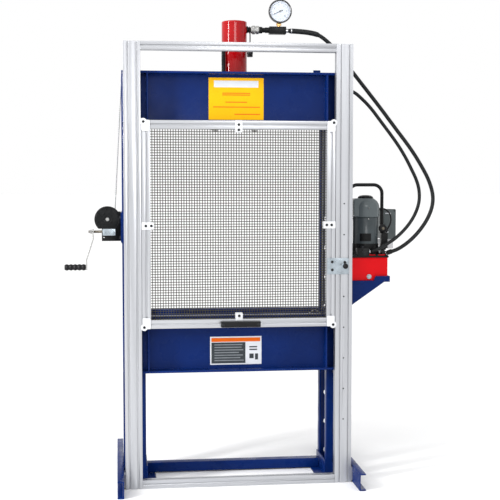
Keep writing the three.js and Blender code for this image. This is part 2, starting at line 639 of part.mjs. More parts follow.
const ARM_HALF = 2.8;
const armLine = [[-647.5, WORM_Z + 12], [-647.5, WORM_Z - 34], [-678, WORM_Z - 128], [-678, WORM_Z - 172]];
const armSection = [
  ...armLine.map(([x, z]) => [x - ARM_HALF, z]),
  ...armLine.map(([x, z]) => [x + ARM_HALF, z]).reverse(),
];
const GRIP_Z = WORM_Z - CRANK_REACH;
const ARM_OUT = -678 - ARM_HALF;
add(
  "crank_arm",
  cut(
    alongY(outline(armSection), WORM_Y - 10, WORM_Y + 10).add(
      disc(X, [0, WORM_Y, GRIP_Z], GRIP_END_X + 8, ARM_OUT + 2, 4, 12),
    ),
    [disc(X, [0, WORM_Y, WORM_Z], -655, -640, 6 + GAP, 16)],
  ),
  STEEL,
);
const gripStart = ARM_OUT - GAP;
const gripProfile = [[GRIP_END_X, 0], [GRIP_END_X, 11]];
const LOBES = 5;
for (let i = 1; i < LOBES * 4; i++) {
  const x = GRIP_END_X + ((gripStart - GRIP_END_X) * i) / (LOBES * 4);
  gripProfile.push([x, 13 - 1.4 * Math.cos((Math.PI * i) / 2)]);
}
gripProfile.push([gripStart, 11], [gripStart, 0]);
add(
  "crank_grip",
  cut(turned(X, [0, WORM_Y, GRIP_Z], gripProfile, 18), [
    disc(X, [0, WORM_Y, GRIP_Z], GRIP_END_X + 6, gripStart + 5, 4 + GAP, 12),
  ]),
  BLACK,
);

// ---------------------------------------------------------------- wire ropes and sheaves
// Turned along Y on its own pin, with a rim 8 mm wide at each groove.
function sheave({ x, z, pitchR }, grooves, pinFrom, pinTo) {
  const root = pitchR - ROPE_R - 3 * GAP;
  const profile = [[pinFrom, 0], [pinFrom, 9]];
  for (const g of grooves) {
    profile.push([g - 4, 9], [g - 4, pitchR + 2], [g - 3, root], [g + 3, root], [g + 4, pitchR + 2], [g + 4, 9]);
  }
  profile.push([pinTo, 9], [pinTo, 0]);
  return turned(Y, [x, 0, z], profile, 32);
}
add(
  "head_sheave_left",
  sheave(SHEAVE_LEFT, [ROPE_Y.left, ROPE_Y.right], FRONT_FACE + GAP, REAR_FACE - GAP),
  STEEL,
);
add("head_sheave_right", sheave(SHEAVE_RIGHT, [ROPE_Y.right], ROPE_Y.right - 9, 40), STEEL);

const DRUM_ROPE_R = 29 + ROPE_R + GAP;
const arcPoints = (centre, r, y, from, to, count) => {
  const points = [];
  for (let i = 0; i <= count; i++) {
    const a = ((from + ((to - from) * i) / count) * Math.PI) / 180;
    points.push([centre.x + r * Math.cos(a), y, centre.z + r * Math.sin(a)]);
  }
  return points;
};
// A rope of short straight runs joined end to end.
const ropeThrough = (points) => union(points.slice(1).map((to, i) => rod(points[i], to, ROPE_R, 6)));
const ROPE_START = { x: WINCH_X + DRUM_ROPE_R, z: WINCH_Z };
const rightRun = [
  [ROPE_START.x, -32, ROPE_START.z],
  ...arcPoints(SHEAVE_LEFT, SHEAVE_LEFT.pitchR, ROPE_Y.right, 180, 90, 6),
  ...arcPoints(SHEAVE_RIGHT, SHEAVE_RIGHT.pitchR, ROPE_Y.right, 90, 0, 6),
];
const leftRun = [
  [ROPE_START.x, -80, ROPE_START.z],
  ...arcPoints(SHEAVE_LEFT, SHEAVE_LEFT.pitchR, ROPE_Y.left, 180, 0, 12),
];
add("winch_rope_right", ropeThrough(rightRun), WIRE);
add("winch_rope_left", ropeThrough(leftRun), WIRE);

for (const [side, s] of SIDES) {
  const top = (s < 0 ? SHEAVE_LEFT.z : SHEAVE_RIGHT.z) - GAP;
  const at = [LIFT_ROPE_X[side], ROPE_Y[side], 0];
  add(`lift_rope_${side}`, disc(Z, at, EYE_TOP_Z + 3.5, top, ROPE_R, 8), WIRE);
}

// ---------------------------------------------------------------- pump on its shelf
const SHELF = { x0: FRAME_HALF + GAP, x1: 712, y0: FRONT_FACE, y1: 75, thick: 6 };
const shelfUnder = SHELF_Z - SHELF.thick;
const gusset = outline([[SHELF.x0, shelfUnder + 1], [687, shelfUnder + 1], [SHELF.x0, 790]]);
add(
  "pump_shelf",
  union([
    box(SHELF.x0, SHELF.x1, SHELF.y0 - 6, SHELF.y1, shelfUnder, SHELF_Z),
    alongY(gusset, SHELF.y0 - 6, SHELF.y0),
    alongY(gusset, SHELF.y1 - 6, SHELF.y1),
    box(SHELF.x0, SHELF.x0 + 5, SHELF.y0, SHELF.y1, 790, SHELF_Z),
    alongY(outline([[634, shelfUnder], [SHELF.x1, shelfUnder], [SHELF.x1, 933], [644, 933]]), SHELF.y0 - 6, SHELF.y0),
    box(SHELF.x1 - 5, SHELF.x1, SHELF.y0 - 6, SHELF.y1, shelfUnder, 933),
  ]),
  BLUE,
);

const tankCorner = 8;
const tankOutline = (inset) => {
  const [x0, x1, y0, y1] = [TANK.x0 + inset, TANK.x1 - inset, TANK.y0 + inset, TANK.y1 - inset];
  const c = tankCorner - inset;
  return outline([
    [x0 + c, y0], [x1 - c, y0], [x1 - 0.3 * c, y0 + 0.3 * c], [x1, y0 + c], [x1, y1 - c],
    [x1 - 0.3 * c, y1 - 0.3 * c], [x1 - c, y1], [x0 + c, y1], [x0 + 0.3 * c, y1 - 0.3 * c], [x0, y1 - c],
    [x0, y0 + c], [x0 + 0.3 * c, y0 + 0.3 * c],
  ]);
};
const tankBottom = SHELF_Z + GAP;
add(
  "reservoir",
  cut(alongZ(tankOutline(0), tankBottom, TANK_TOP), [alongZ(tankOutline(3), tankBottom + 4, TANK_TOP + 5)]).add(
    disc(Y, [616, 0, 930], TANK.y0 - 5, TANK.y0 + 1, 9, 6),
  ),
  TANK_RED,
);

const PORT_A = { x: 627.5, y: -122, z: 1044 };
const PORT_B = { x: 711, y: -85, z: 1036 };
add(
  "valve_manifold",
  union([
    box(TANK.x0 - 2, TANK.x1 + 3, TANK.y0 - 3, TANK.y1 + 3, TANK_TOP + GAP, COVER_TOP),
    disc(Z, [MOTOR_X, MOTOR_Y, 0], COVER_TOP - 1, 1038, MOTOR_R + 5, 28),
    box(560, 616, -140, -110, COVER_TOP - 1, 1062),
    box(684, 700, -100, -70, COVER_TOP - 1, 1054),
    box(688, 699, -69, -52, COVER_TOP - 1, 1062),
    box(688, 718, -82, -52, 1058, 1128),
    disc(X, [0, PORT_A.y, PORT_A.z], 610, PORT_A.x, 8, 12),
    disc(X, [0, PORT_B.y, PORT_B.z], 698, PORT_B.x, 8, 12),
  ]),
  BLACK,
);

const motorBody = turned(Z, [MOTOR_X, MOTOR_Y, 0], [
  [1038 + GAP, 0], [1038 + GAP, MOTOR_R - 2], [1205, MOTOR_R - 2], [1205, MOTOR_R + 4], [1250, MOTOR_R + 4],
  [1266, MOTOR_R + 1], [1278, MOTOR_R - 7], [1287, MOTOR_R - 17], [1292, 37], [1300, 34], [1305, 22], [1306, 0],
], 36);
const terminalBox = box(554, 604, MOTOR_Y - 50, MOTOR_Y + 40, 1207, 1291);
add("motor", motorBody.add(terminalBox), MOTOR_GREY);

const HANDLE = { half: 79, top: 1354, r: 8, bend: 40 };
class HandlePath extends THREE.CurvePath {
  constructor() {
    super();
    const { half, top, bend } = HANDLE;
    const at = (x, z) => new THREE.Vector3(MOTOR_X + x, MOTOR_Y, z);
    const k = bend * 0.4477;
    this.add(new THREE.LineCurve3(at(-half, COVER_TOP + GAP), at(-half, top - bend)));
    this.add(
      new THREE.CubicBezierCurve3(
        at(-half, top - bend), at(-half, top - k), at(-half + k, top), at(-half + bend, top),
      ),
    );
    this.add(new THREE.LineCurve3(at(-half + bend, top), at(half - bend, top)));
    this.add(
      new THREE.CubicBezierCurve3(
        at(half - bend, top), at(half - k, top), at(half, top - k), at(half, top - bend),
      ),
    );
    this.add(new THREE.LineCurve3(at(half, top - bend), at(half, COVER_TOP + GAP)));
  }
}
add("carry_handle", tube(new HandlePath(), HANDLE.r, 48, 10), BLACK);

const KNOB = { x: MOTOR_X + HANDLE.half, y: MOTOR_Y - HANDLE.r - GAP, z: 1150 };
add(
  "valve_knob",
  turned(Y, [KNOB.x, KNOB.y, KNOB.z], [
    [-24, 0], [-24, 7], [-20, 8], [-19, 17], [-16, 20], [-8, 20], [-6, 16], [-5, 8], [0, 8], [0, 0],
  ], 20),
  BLACK,
);

const BOX = { x0: 707.5, x1: 776, y0: 0, y1: 90, z0: 1097, z1: 1238 };
add(
  "control_box",
  union([
    box(BOX.x0, BOX.x1, BOX.y0, BOX.y1, BOX.z0, BOX.z1),
    box(690, 770, 20, 24, 1050, BOX.z0 + 1),
    box(690, 706, 20, 50, COVER_TOP + GAP, 1052),
    disc(Z, [745, 60, 0], BOX.z0 - 16, BOX.z0 + 1, 9, 12),
  ]),
  BOX_GREY,
);

export default press;
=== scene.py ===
"""Looks of the hydraulic shop press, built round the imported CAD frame.

Lengths in the piece-making code are millimetres, in the CAD frame: X right, Y back, Z up.
"""
import json
import math

import bmesh
import bpy
from mathutils import Matrix, Vector


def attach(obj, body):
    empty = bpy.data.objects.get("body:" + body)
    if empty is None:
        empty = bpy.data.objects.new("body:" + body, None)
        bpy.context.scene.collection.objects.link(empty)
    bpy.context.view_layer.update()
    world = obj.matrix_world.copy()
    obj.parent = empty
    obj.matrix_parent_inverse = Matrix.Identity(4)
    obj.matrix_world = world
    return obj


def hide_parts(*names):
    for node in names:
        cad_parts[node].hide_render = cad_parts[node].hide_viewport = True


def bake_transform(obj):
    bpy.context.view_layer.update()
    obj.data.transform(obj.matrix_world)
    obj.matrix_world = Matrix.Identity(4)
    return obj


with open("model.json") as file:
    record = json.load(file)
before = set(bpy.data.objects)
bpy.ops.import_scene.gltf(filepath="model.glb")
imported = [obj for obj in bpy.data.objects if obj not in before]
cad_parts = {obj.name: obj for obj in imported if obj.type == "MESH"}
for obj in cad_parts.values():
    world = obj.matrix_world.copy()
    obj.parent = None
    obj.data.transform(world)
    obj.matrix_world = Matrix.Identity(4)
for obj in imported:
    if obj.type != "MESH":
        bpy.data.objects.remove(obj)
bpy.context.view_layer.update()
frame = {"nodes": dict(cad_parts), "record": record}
scene = bpy.context.scene
NODES = frame["nodes"]
BODY_OF = {n: b for b, ns in frame["record"]["behaviour"]["bodies"].items() for n in ns}
MM = 0.001

scene.view_settings.view_transform = "Standard"
scene.view_settings.look = "None"


# ---------------------------------------------------------------- camera and light
camera = bpy.data.objects.new("camera", bpy.data.cameras.new("camera"))
scene.collection.objects.link(camera)
camera.location = (-0.5382, -5.0818, 1.3626)
camera.rotation_euler = (math.radians(86.493), 0, math.radians(-6.911))
camera.data.lens = 78.71
camera.data.sensor_width = 36
camera.data.clip_start, camera.data.clip_end = 0.05, 300
scene.camera = camera

world = bpy.data.worlds.new("studio")
scene.world = world
world.use_nodes = True
world.node_tree.nodes["Background"].inputs["Color"].default_value = (1, 1, 1, 1)
world.node_tree.nodes["Background"].inputs["Strength"].default_value = 1.0


def aim(obj, place, target):
    obj.location = place
    obj.rotation_euler = (Vector(target) - Vector(place)).to_track_quat("-Z", "Y").to_euler()


def area_light(name, place, target, size, power):
    data = bpy.data.lights.new(name, "AREA")
    data.shape, data.size, data.size_y, data.energy = "RECTANGLE", size[0], size[1], power
    obj = bpy.data.objects.new(name, data)
    scene.collection.objects.link(obj)
    aim(obj, place, target)


sun = bpy.data.objects.new("soft_sun", bpy.data.lights.new("soft_sun", "SUN"))
sun.data.energy, sun.data.angle = 0.6, math.radians(60)
scene.collection.objects.link(sun)
aim(sun, (-2.5, -3.5, 5), (0, 0, 0))
area_light("strip", (-3.0, -1.8, 2.3), (0, 0, 1.9), (0.42, 2.4), 120)
area_light("front_box", (0.3, -6.5, 3.4), (0, 0, 1.1), (2.2, 1.2), 60)


# ---------------------------------------------------------------- materials
def material(
    name, colour, roughness, metallic=0.0, vary=0.08, scale=9.0, stretch=(1, 1, 1), rough_vary=0.08,
    bump=0.15, bump_scale=420.0, bump_stretch=(1, 1, 1), specular=0.5, coat=0.0, coat_roughness=0.1,
    second=None, second_share=0.0, alpha=1.0,
):
    """A surface whose colour, roughness and relief vary with noise; `second` adds sparse marks of another colour."""
    mat = bpy.data.materials.new(name)
    mat.use_nodes = True
    tree = mat.node_tree
    shader = tree.nodes["Principled BSDF"]
    shader.inputs["Metallic"].default_value = metallic
    shader.inputs["Specular IOR Level"].default_value = specular
    shader.inputs["Coat Weight"].default_value = coat
    shader.inputs["Coat Roughness"].default_value = coat_roughness
    shader.inputs["Alpha"].default_value = alpha

    def node(kind, **values):
        made = tree.nodes.new(kind)
        for key, value in values.items():
            setattr(made, key, value)
        return made

    def noise(freq, detail, stretching):
        mapping = node("ShaderNodeMapping")
        mapping.inputs["Scale"].default_value = stretching
        tree.links.new(place.outputs["Object"], mapping.inputs["Vector"])
        made = node("ShaderNodeTexNoise")
        made.inputs["Scale"].default_value = freq
        made.inputs["Detail"].default_value = detail
        tree.links.new(mapping.outputs["Vector"], made.inputs["Vector"])
        return made.outputs["Fac"]

    def mix(factor, a, b):
        made = node("ShaderNodeMix", data_type="RGBA")
        tree.links.new(factor, made.inputs["Factor"])
        for socket, value in (("A", a), ("B", b)):
            target = next(s for s in made.inputs if s.name == socket and s.type == "RGBA")
            if isinstance(value, tuple):
                target.default_value = (*value, 1)
            else:
                tree.links.new(value, target)
        return next(s for s in made.outputs if s.type == "RGBA")

    def remap(value, low, high, from_low=0.3, from_high=0.7):
        made = node("ShaderNodeMapRange")
        made.inputs["From Min"].default_value = from_low
        made.inputs["From Max"].default_value = from_high
        made.inputs["To Min"].default_value = low
        made.inputs["To Max"].default_value = high
        tree.links.new(value, made.inputs["Value"])
        return made.outputs["Result"]

    place = node("ShaderNodeTexCoord")
    broad = noise(scale, 5, stretch)
    fine = noise(bump_scale, 3, bump_stretch)
    dark = tuple(c * (1 - vary) for c in colour)
    light = tuple(min(1.0, c * (1 + vary)) for c in colour)
    base = mix(remap(broad, 0, 1), dark, light)
    if second:
        marks = remap(noise(scale * 7, 6, stretch), 0, second_share, 0.6, 0.72)
        base = mix(marks, base, second)
    tree.links.new(base, shader.inputs["Base Color"])
    spread = noise(scale * 3, 4, bump_stretch)
    tree.links.new(
        remap(spread, max(0.02, roughness - rough_vary), min(1.0, roughness + rough_vary)),
        shader.inputs["Roughness"],
    )
    if bump:
        relief = node("ShaderNodeBump")
        relief.inputs["Strength"].default_value = bump
        relief.inputs["Distance"].default_value = 0.0006
        tree.links.new(fine, relief.inputs["Height"])
        tree.links.new(relief.outputs["Normal"], shader.inputs["Normal"])
    return mat


BLUE = material(
    "blue_enamel", (0.0015, 0.0155, 0.108), 0.3, vary=0.16, scale=5, rough_vary=0.1, bump=0.28, bump_scale=260,
    specular=0.1, second=(0.012, 0.035, 0.14), second_share=0.25,
)
ALU = (0.485, 0.495, 0.52)
ALU_Z = material(
    "aluminium_upright", ALU, 0.34, 0.92, vary=0.07, scale=16, stretch=(4, 4, 0.12), rough_vary=0.07, bump=0.1,
    bump_scale=700, bump_stretch=(1, 1, 0.03),
)
ALU_X = material(
    "aluminium_cross", ALU, 0.34, 0.92, vary=0.07, scale=16, stretch=(0.12, 4, 4), rough_vary=0.07, bump=0.1,
    bump_scale=700, bump_stretch=(0.03, 1, 1),
)
ALU_PLATE = material(
    "aluminium_plate", (0.7, 0.71, 0.73), 0.5, 0.5, vary=0.05, scale=30, bump=0.15, bump_scale=900, specular=0.3,
)
ZINC = material(
    "zinc_plating", (0.36, 0.41, 0.45), 0.34, 0.85, vary=0.14, scale=35, rough_vary=0.12, bump=0.12, bump_scale=600,
    second=(0.58, 0.62, 0.66), second_share=0.5,
)
CHROME = material("chrome", (0.6, 0.61, 0.63), 0.1, 1.0, vary=0.05, scale=20, rough_vary=0.04, bump=0.03)
# Gauge bezel chrome: the dark base colour and the light noise patches are painted reflection, standing in for dark and
# light surroundings mirrored in the chrome.
CHROME_PAINTED_REFLECTION = material(
    "chrome_painted_reflection", (0.06, 0.06, 0.062), 0.18, 1.0, vary=0.5, scale=22, rough_vary=0.08, bump=0.04,
    second=(0.35, 0.35, 0.36), second_share=0.6,
)
RED = material(
    "cylinder_enamel", (0.34, 0.001, 0.003), 0.12, vary=0.08, scale=7, rough_vary=0.04, bump=0.06, bump_scale=180,
    specular=0.1, coat=0.45, coat_roughness=0.03,
)
TANK_RED = material(
    "tank_powder_coat", (0.62, 0.002, 0.006), 0.42, vary=0.06, scale=9, bump=0.3, bump_scale=900, specular=0.12,
)
PLASTIC = material(
    "black_plastic", (0.009, 0.009, 0.01), 0.4, vary=0.2, scale=30, bump=0.25, bump_scale=1500, specular=0.16,
)
BLACK = material(
    "black_enamel", (0.006, 0.0065, 0.007), 0.34, vary=0.25, scale=18, rough_vary=0.12, bump=0.3, bump_scale=420,
    specular=0.15, second=(0.024, 0.026, 0.028), second_share=0.4,
)
MOTOR = material(
    "motor_enamel", (0.05, 0.061, 0.066), 0.22, vary=0.16, scale=10, bump=0.14, bump_scale=240, specular=0.16,
    coat=0.15, coat_roughness=0.1,
)
BELL = material(
    "motor_bell_enamel", (0.092, 0.109, 0.115), 0.22, vary=0.14, scale=10, bump=0.14, bump_scale=240, specular=0.16,
    coat=0.25, coat_roughness=0.08,
)
RUBBER = material(
    "hose_cover", (0.009, 0.0105, 0.0115), 0.3, vary=0.2, scale=25, bump=0.3, bump_scale=900, specular=0.2,
    second=(0.03, 0.033, 0.035), second_share=0.25,
)
STEEL = material(
    "machined_steel", (0.42, 0.42, 0.41), 0.3, 0.95, vary=0.12, scale=25, bump=0.14, bump_scale=500,
    bump_stretch=(1, 0.2, 1),
)
WORN = material(
    "oiled_steel", (0.16, 0.14, 0.11), 0.4, 0.85, vary=0.25, scale=45, rough_vary=0.15, bump=0.3, bump_scale=300,
)
WIRE = material(
    "galvanised_wire", (0.33, 0.335, 0.34), 0.42, 0.8, vary=0.15, scale=60, bump=0.2, bump_scale=700,
)
MESH = material(
    "mesh_wire", (0.048, 0.046, 0.041), 0.45, 0.45, vary=0.2, scale=40, rough_vary=0.12, bump=0.2, bump_scale=700,
    specular=0.2,
)
GREY = material(
    "box_enamel", (0.098, 0.114, 0.117), 0.38, vary=0.12, scale=14, bump=0.35, bump_scale=320, specular=0.15,
)
BRASS = material("brass", (0.66, 0.4, 0.15), 0.26, 0.95, vary=0.12, scale=40, bump=0.08, bump_scale=500)
DARK = material("dark_bolt", (0.02, 0.021, 0.023), 0.38, 0.4, vary=0.2, scale=60, bump=0.2, bump_scale=900, specular=0.2)
DIAL = material("dial", (0.6, 0.65, 0.74), 0.5, vary=0.03, scale=30, bump=0.05, specular=0.1)
INK = material("dial_ink", (0.006, 0.006, 0.008), 0.55, vary=0.1, scale=50, bump=0.05, specular=0.1)
GLASS = material(
    "gauge_glass", (0.9, 0.93, 0.95), 0.04, vary=0.01, scale=10, rough_vary=0.02, bump=0.0, alpha=0.06,
)
YELLOW = material("label_yellow", (0.84, 0.44, 0.001), 0.32, vary=0.03, scale=14, bump=0.06, specular=0.1)
ORANGE = material("label_orange", (0.72, 0.12, 0.006), 0.35, vary=0.04, scale=20, bump=0.06, specular=0.1)
WHITE = material("label_white", (0.66, 0.68, 0.72), 0.35, vary=0.04, scale=20, bump=0.06, specular=0.1)
LABEL_GREY = material("label_grey", (0.04, 0.047, 0.053), 0.4, vary=0.12, scale=30, bump=0.06, specular=0.12)
LABEL_LINE = material("label_line", (0.2, 0.22, 0.24), 0.4, vary=0.1, scale=60, bump=0.06, specular=0.12)


# ---------------------------------------------------------------- making pieces
AXES = {
    "X": (Vector((1, 0, 0)), Vector((0, 1, 0)), Vector((0, 0, 1))),
    "Y": (Vector((0, 1, 0)), Vector((0, 0, 1)), Vector((1, 0, 0))),
    "Z": (Vector((0, 0, 1)), Vector((1, 0, 0)), Vector((0, 1, 0))),
}


class Shape:
    """Faces gathered from several simple forms, in millimetres."""

    def __init__(self):
        self.verts, self.faces = [], []

    def add(self, verts, faces):
        first = len(self.verts)
        self.verts += [Vector(v) for v in verts]
        self.faces += [[first + i for i in f] for f in faces]
        return self

    def box(self, x0, x1, y0, y1, z0, z1):
        verts = [(x, y, z) for x in (x0, x1) for y in (y0, y1) for z in (z0, z1)]
        faces = [(0, 1, 3, 2), (4, 6, 7, 5), (0, 4, 5, 1), (2, 3, 7, 6), (0, 2, 6, 4), (1, 5, 7, 3)]
        return self.add(verts, faces)

    def turned(self, axis, centre, profile, segments=48, lobes=None, loop=False):
        """profile: (place along the axis, radius) pairs. lobes(angle, place) scales the radius."""
        along, u, v = AXES[axis] if isinstance(axis, str) else axis
        centre = Vector(centre)
        verts, rings = [], []
        for a, r in profile:
            if r == 0:
                rings.append([len(verts)])
                verts.append(centre + along * a)
                continue
            rings.append(list(range(len(verts), len(verts) + segments)))
            for i in range(segments):
                t = 2 * math.pi * i / segments
                radius = r * (lobes(t, a) if lobes else 1)
                verts.append(centre + along * a + (u * math.cos(t) + v * math.sin(t)) * radius)
        faces = []
        pairs = list(zip(rings, rings[1:])) + ([(rings[-1], rings[0])] if loop else [])
        for low, high in pairs:
            if len(low) == 1 and len(high) == 1:
                continue
            for i in range(segments):
                j = (i + 1) % segments
                if len(low) == 1:
                    faces.append([low[0], high[j], high[i]])
                elif len(high) == 1:
                    faces.append([low[i], low[j], high[0]])
                else:
                    faces.append([low[i], low[j], high[j], high[i]])
        return self.add(verts, faces)

    def ring(self, axis, centre, at, radius, thick, segments=40, sides=10):
        profile = [
            (at + thick * math.sin(2 * math.pi * i / sides), radius + thick * math.cos(2 * math.pi * i / sides))
            for i in range(sides)
        ]
        return self.turned(axis, centre, profile, segments, loop=True)

    def tube(self, points, radius, sides=14, twist=0.0, section=None, closed=False):
        """A round bar along points. radius may be a list; twist is the turn per point; section scales the radius."""
        points = [Vector(p) for p in points]
        count = len(points)
        radii = radius if isinstance(radius, list) else [radius] * count
        last = None
        verts, faces = [], []
        for k, p in enumerate(points):
            before = points[(k - 1) % count] if closed or k else p
            after = points[(k + 1) % count] if closed or k < count - 1 else p
            direction = (after - before).normalized()
            if last is None:
                guess = Vector((0, 0, 1)) if abs(direction.z) < 0.9 else Vector((1, 0, 0))
                side = direction.cross(guess).normalized()
            else:
                side = (last - direction * last.dot(direction)).normalized()
            last = side
            other = direction.cross(side)
            for i in range(sides):
                t = 2 * math.pi * i / sides
                r = radii[k] * (section(t) if section else 1)
                t += twist * k
                verts.append(p + (side * math.cos(t) + other * math.sin(t)) * r)
        for k in range(count if closed else count - 1):
            for i in range(sides):
                j = (i + 1) % sides
                a, b = k * sides, ((k + 1) % count) * sides
                faces.append([a + i, a + j, b + j, b + i])
        if not closed:
            faces.append(list(range(sides))[::-1])
            faces.append([(count - 1) * sides + i for i in range(sides)])
        return self.add(verts, faces)

    def prism(self, axis, outline, a0, a1):
        place = {
            "X": lambda p, a: (a, p[0], p[1]),
            "Y": lambda p, a: (p[0], a, p[1]),
            "Z": lambda p, a: (p[0], p[1], a),
        }[axis]
        n = len(outline)
        verts = [place(p, a) for a in (a0, a1) for p in outline]
        faces = [[i, (i + 1) % n, n + (i + 1) % n, n + i] for i in range(n)]
        return self.add(verts, faces + [list(range(n))[::-1], list(range(n, 2 * n))])

    def hexagon(self, axis, centre, a0, a1, r):
        """A hexagon head with chamfered corners, its top at a1."""
        step = 0.12 * (a1 - a0)
        profile = [(a0, 0), (a0, r), (a1 - step * 2, r), (a1, r * 0.86), (a1, 0)]
        return self.turned(axis, centre, profile, 6)

    def button(self, axis, centre, a0, a1, r):
        """A domed socket screw head, its top at a1."""
        h = a1 - a0
        profile = [
            (a0, 0), (a0, r), (a0 + 0.45 * h, r * 0.97), (a0 + 0.85 * h, r * 0.75), (a1, r * 0.5),
            (a1 - 0.1 * h, r * 0.42), (a0 + 0.4 * h, r * 0.4), (a0 + 0.35 * h, 0),
        ]
        return self.turned(axis, centre, profile, 24)

    def moved(self, matrix):
        self.verts = [matrix @ v for v in self.verts]
        return self


def finish_mesh(obj, bevel, angle=30):
    mesh = obj.data
    mesh.shade_smooth()
    if bevel:
        mod = obj.modifiers.new("edges", "BEVEL")
        mod.width, mod.segments, mod.limit_method = bevel * MM, 2, "ANGLE"
        mod.angle_limit, mod.harden_normals, mod.miter_outer = math.radians(angle), True, "MITER_ARC"
    else:
        mesh.set_sharp_from_angle(angle=math.radians(angle))


def piece(shape, name, body, mat, bevel=0.0, replaces=(), angle=30):
    mesh = bpy.data.meshes.new(name)
    mesh.from_pydata([v * MM for v in shape.verts], [], shape.faces)
    made = bmesh.new()
    made.from_mesh(mesh)
    bmesh.ops.recalc_face_normals(made, faces=made.faces)
    made.to_mesh(mesh)
    made.free()
    obj = bpy.data.objects.new(name, mesh)
    scene.collection.objects.link(obj)
    mesh.materials.append(mat)
    finish_mesh(obj, bevel, angle)
    if body:
        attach(obj, body)
    if replaces:
        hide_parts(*replaces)
    return obj


def refined(node, mat, bevel=1.0, angle=30):
    """The CAD node's own shape with softened edges, in place of the node."""
    made = bmesh.new()
    made.from_mesh(NODES[node].data)
    bmesh.ops.remove_doubles(made, verts=made.verts, dist=2e-6)
    bmesh.ops.dissolve_limit(made, angle_limit=math.radians(0.6), verts=made.verts, edges=made.edges)
    mesh = bpy.data.meshes.new(node + "_surface")
    made.to_mesh(mesh)
    made.free()
    obj = bpy.data.objects.new(node + "_surface", mesh)
    scene.collection.objects.link(obj)
    mesh.materials.append(mat)
    finish_mesh(obj, bevel, angle)
    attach(obj, BODY_OF[node])
    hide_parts(node)
    return obj


def spline(points, per_span=10):
    """Centripetal Catmull-Rom through the points."""
    pts = [Vector(p) for p in points]
    pts = [2 * pts[0] - pts[1], *pts, 2 * pts[-1] - pts[-2]]
    out = []
    for i in range(1, len(pts) - 2):
        p = pts[i - 1 : i + 3]
        t = [0.0]
        for a, b in zip(p, p[1:]):
            t.append(t[-1] + max((b - a).length ** 0.5, 1e-6))
        for k in range(per_span):
            s = t[1] + (t[2] - t[1]) * k / per_span
            a = [(t[j + 1] - s) / (t[j + 1] - t[j]) * p[j] + (s - t[j]) / (t[j + 1] - t[j]) * p[j + 1] for j in range(3)]
            b = [
                (t[j + 2] - s) / (t[j + 2] - t[j]) * a[j] + (s - t[j]) / (t[j + 2] - t[j]) * a[j + 1] for j in range(2)
            ]
            out.append((t[2] - s) / (t[2] - t[1]) * b[0] + (s - t[1]) / (t[2] - t[1]) * b[1])
    return out + [pts[-2]]


def arc(centre, r, y, start, end, count):
    """Points on a circle that faces front, from one angle to another in degrees."""
    return [
        (
            centre[0] + r * math.cos(math.radians(start + (end - start) * i / count)),
            y,
            centre[1] + r * math.sin(math.radians(start + (end - start) * i / count)),
        )
        for i in range(count + 1)
    ]


# ---------------------------------------------------------------- cords
def hose(name, points, diameter, mat, replaces=()):
    line = spline(points, 8)
    curve = bpy.data.curves.new(name, "CURVE")
    curve.dimensions, curve.bevel_depth, curve.bevel_resolution = "3D", diameter / 2 * MM, 5
    curve.use_fill_caps = True
    track = curve.splines.new("POLY")
    track.points.add(len(line) - 1)
    for point, place in zip(track.points, line):
        point.co = (*(place * MM), 1)
    track.use_smooth = True
    obj = bpy.data.objects.new(name, curve)
    scene.collection.objects.link(obj)
    curve.materials.append(mat)
    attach(obj, "frame")
    if replaces:
        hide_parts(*replaces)
    return line


ADVANCE = [
    (249, -39, 2064), (304, -41, 2061), (350, -44, 2056), (392, -46, 2045), (439, -48, 2011), (481, -50, 1965),
    (519, -53, 1917), (556, -55, 1871), (609, -57, 1805), (683, -60, 1712), (757, -62, 1616), (829, -64, 1522),
    (878, -67, 1446), (916, -69, 1374), (935, -71, 1308), (933, -74, 1258), (912, -76, 1200), (870, -78, 1138),
    (818, -80, 1087), (765, -83, 1053), (714.5, -85, 1036),
]
RETRACT = [
    (-55, -86, 1967.7), (-55, -88, 1900), (-52, -95, 1830), (-30, -110, 1768), (20, -121, 1724), (90, -118, 1706),
    (170, -104, 1708), (260, -86, 1728), (350, -76, 1757), (440, -72, 1785), (505, -66, 1795), (557, -60, 1783),
    (597, -62, 1751), (634, -65, 1713), (684, -68, 1649), (762, -72, 1545), (799, -77, 1485), (827, -82, 1430),
    (851, -87, 1377), (863, -91, 1330), (862, -96, 1274), (841, -101, 1215), (802, -106, 1158), (747, -111, 1106),
    (698, -116, 1075), (663, -120, 1056), (631, -122, 1044),
]
MOTOR_LEAD = [
    (678, -20, 1236), (692, -16, 1240), (708, -16, 1242), (724, -22, 1236), (737, -30, 1221), (743, -36, 1202),
    (743, -38, 1183), (738, -35, 1164), (732, -24, 1148), (729, -10, 1139), (728.5, -1, 1137),
]

advance_line = spline(ADVANCE, 8)
sleeve_line = [p for p in advance_line if 250 < p.x < 397]
sleeve = piece(
    Shape().tube(
        sleeve_line, [10.5, 11.6] + [12.0] * (len(sleeve_line) - 4) + [11.6, 10.0], 24
    ),
    "hose_sleeve", "frame", RUBBER,
)
spring_line = [p for p in spline(RETRACT, 8) if 1862 < p.z < 1962 and p.x < -44]
coil = []
for k in range(15 * 12):
    t = k / (15 * 12 - 1) * (len(spring_line) - 1)
    i = min(int(t), len(spring_line) - 2)
    p = spring_line[i].lerp(spring_line[i + 1], t - i)
    a = 2 * math.pi * k / 12
    coil.append(p + Vector((math.cos(a) * 8.2, math.sin(a) * 8.2, 0)))
spring_guard = piece(Shape().tube(coil, 1.1, 6), "spring_guard", "frame", BLACK)

hose("advance_hose", ADVANCE, 18, RUBBER, ["hose_advance"])
hose("retract_hose", RETRACT, 16, RUBBER, ["hose_retract"])
hose("motor_lead", MOTOR_LEAD, 7, PLASTIC)


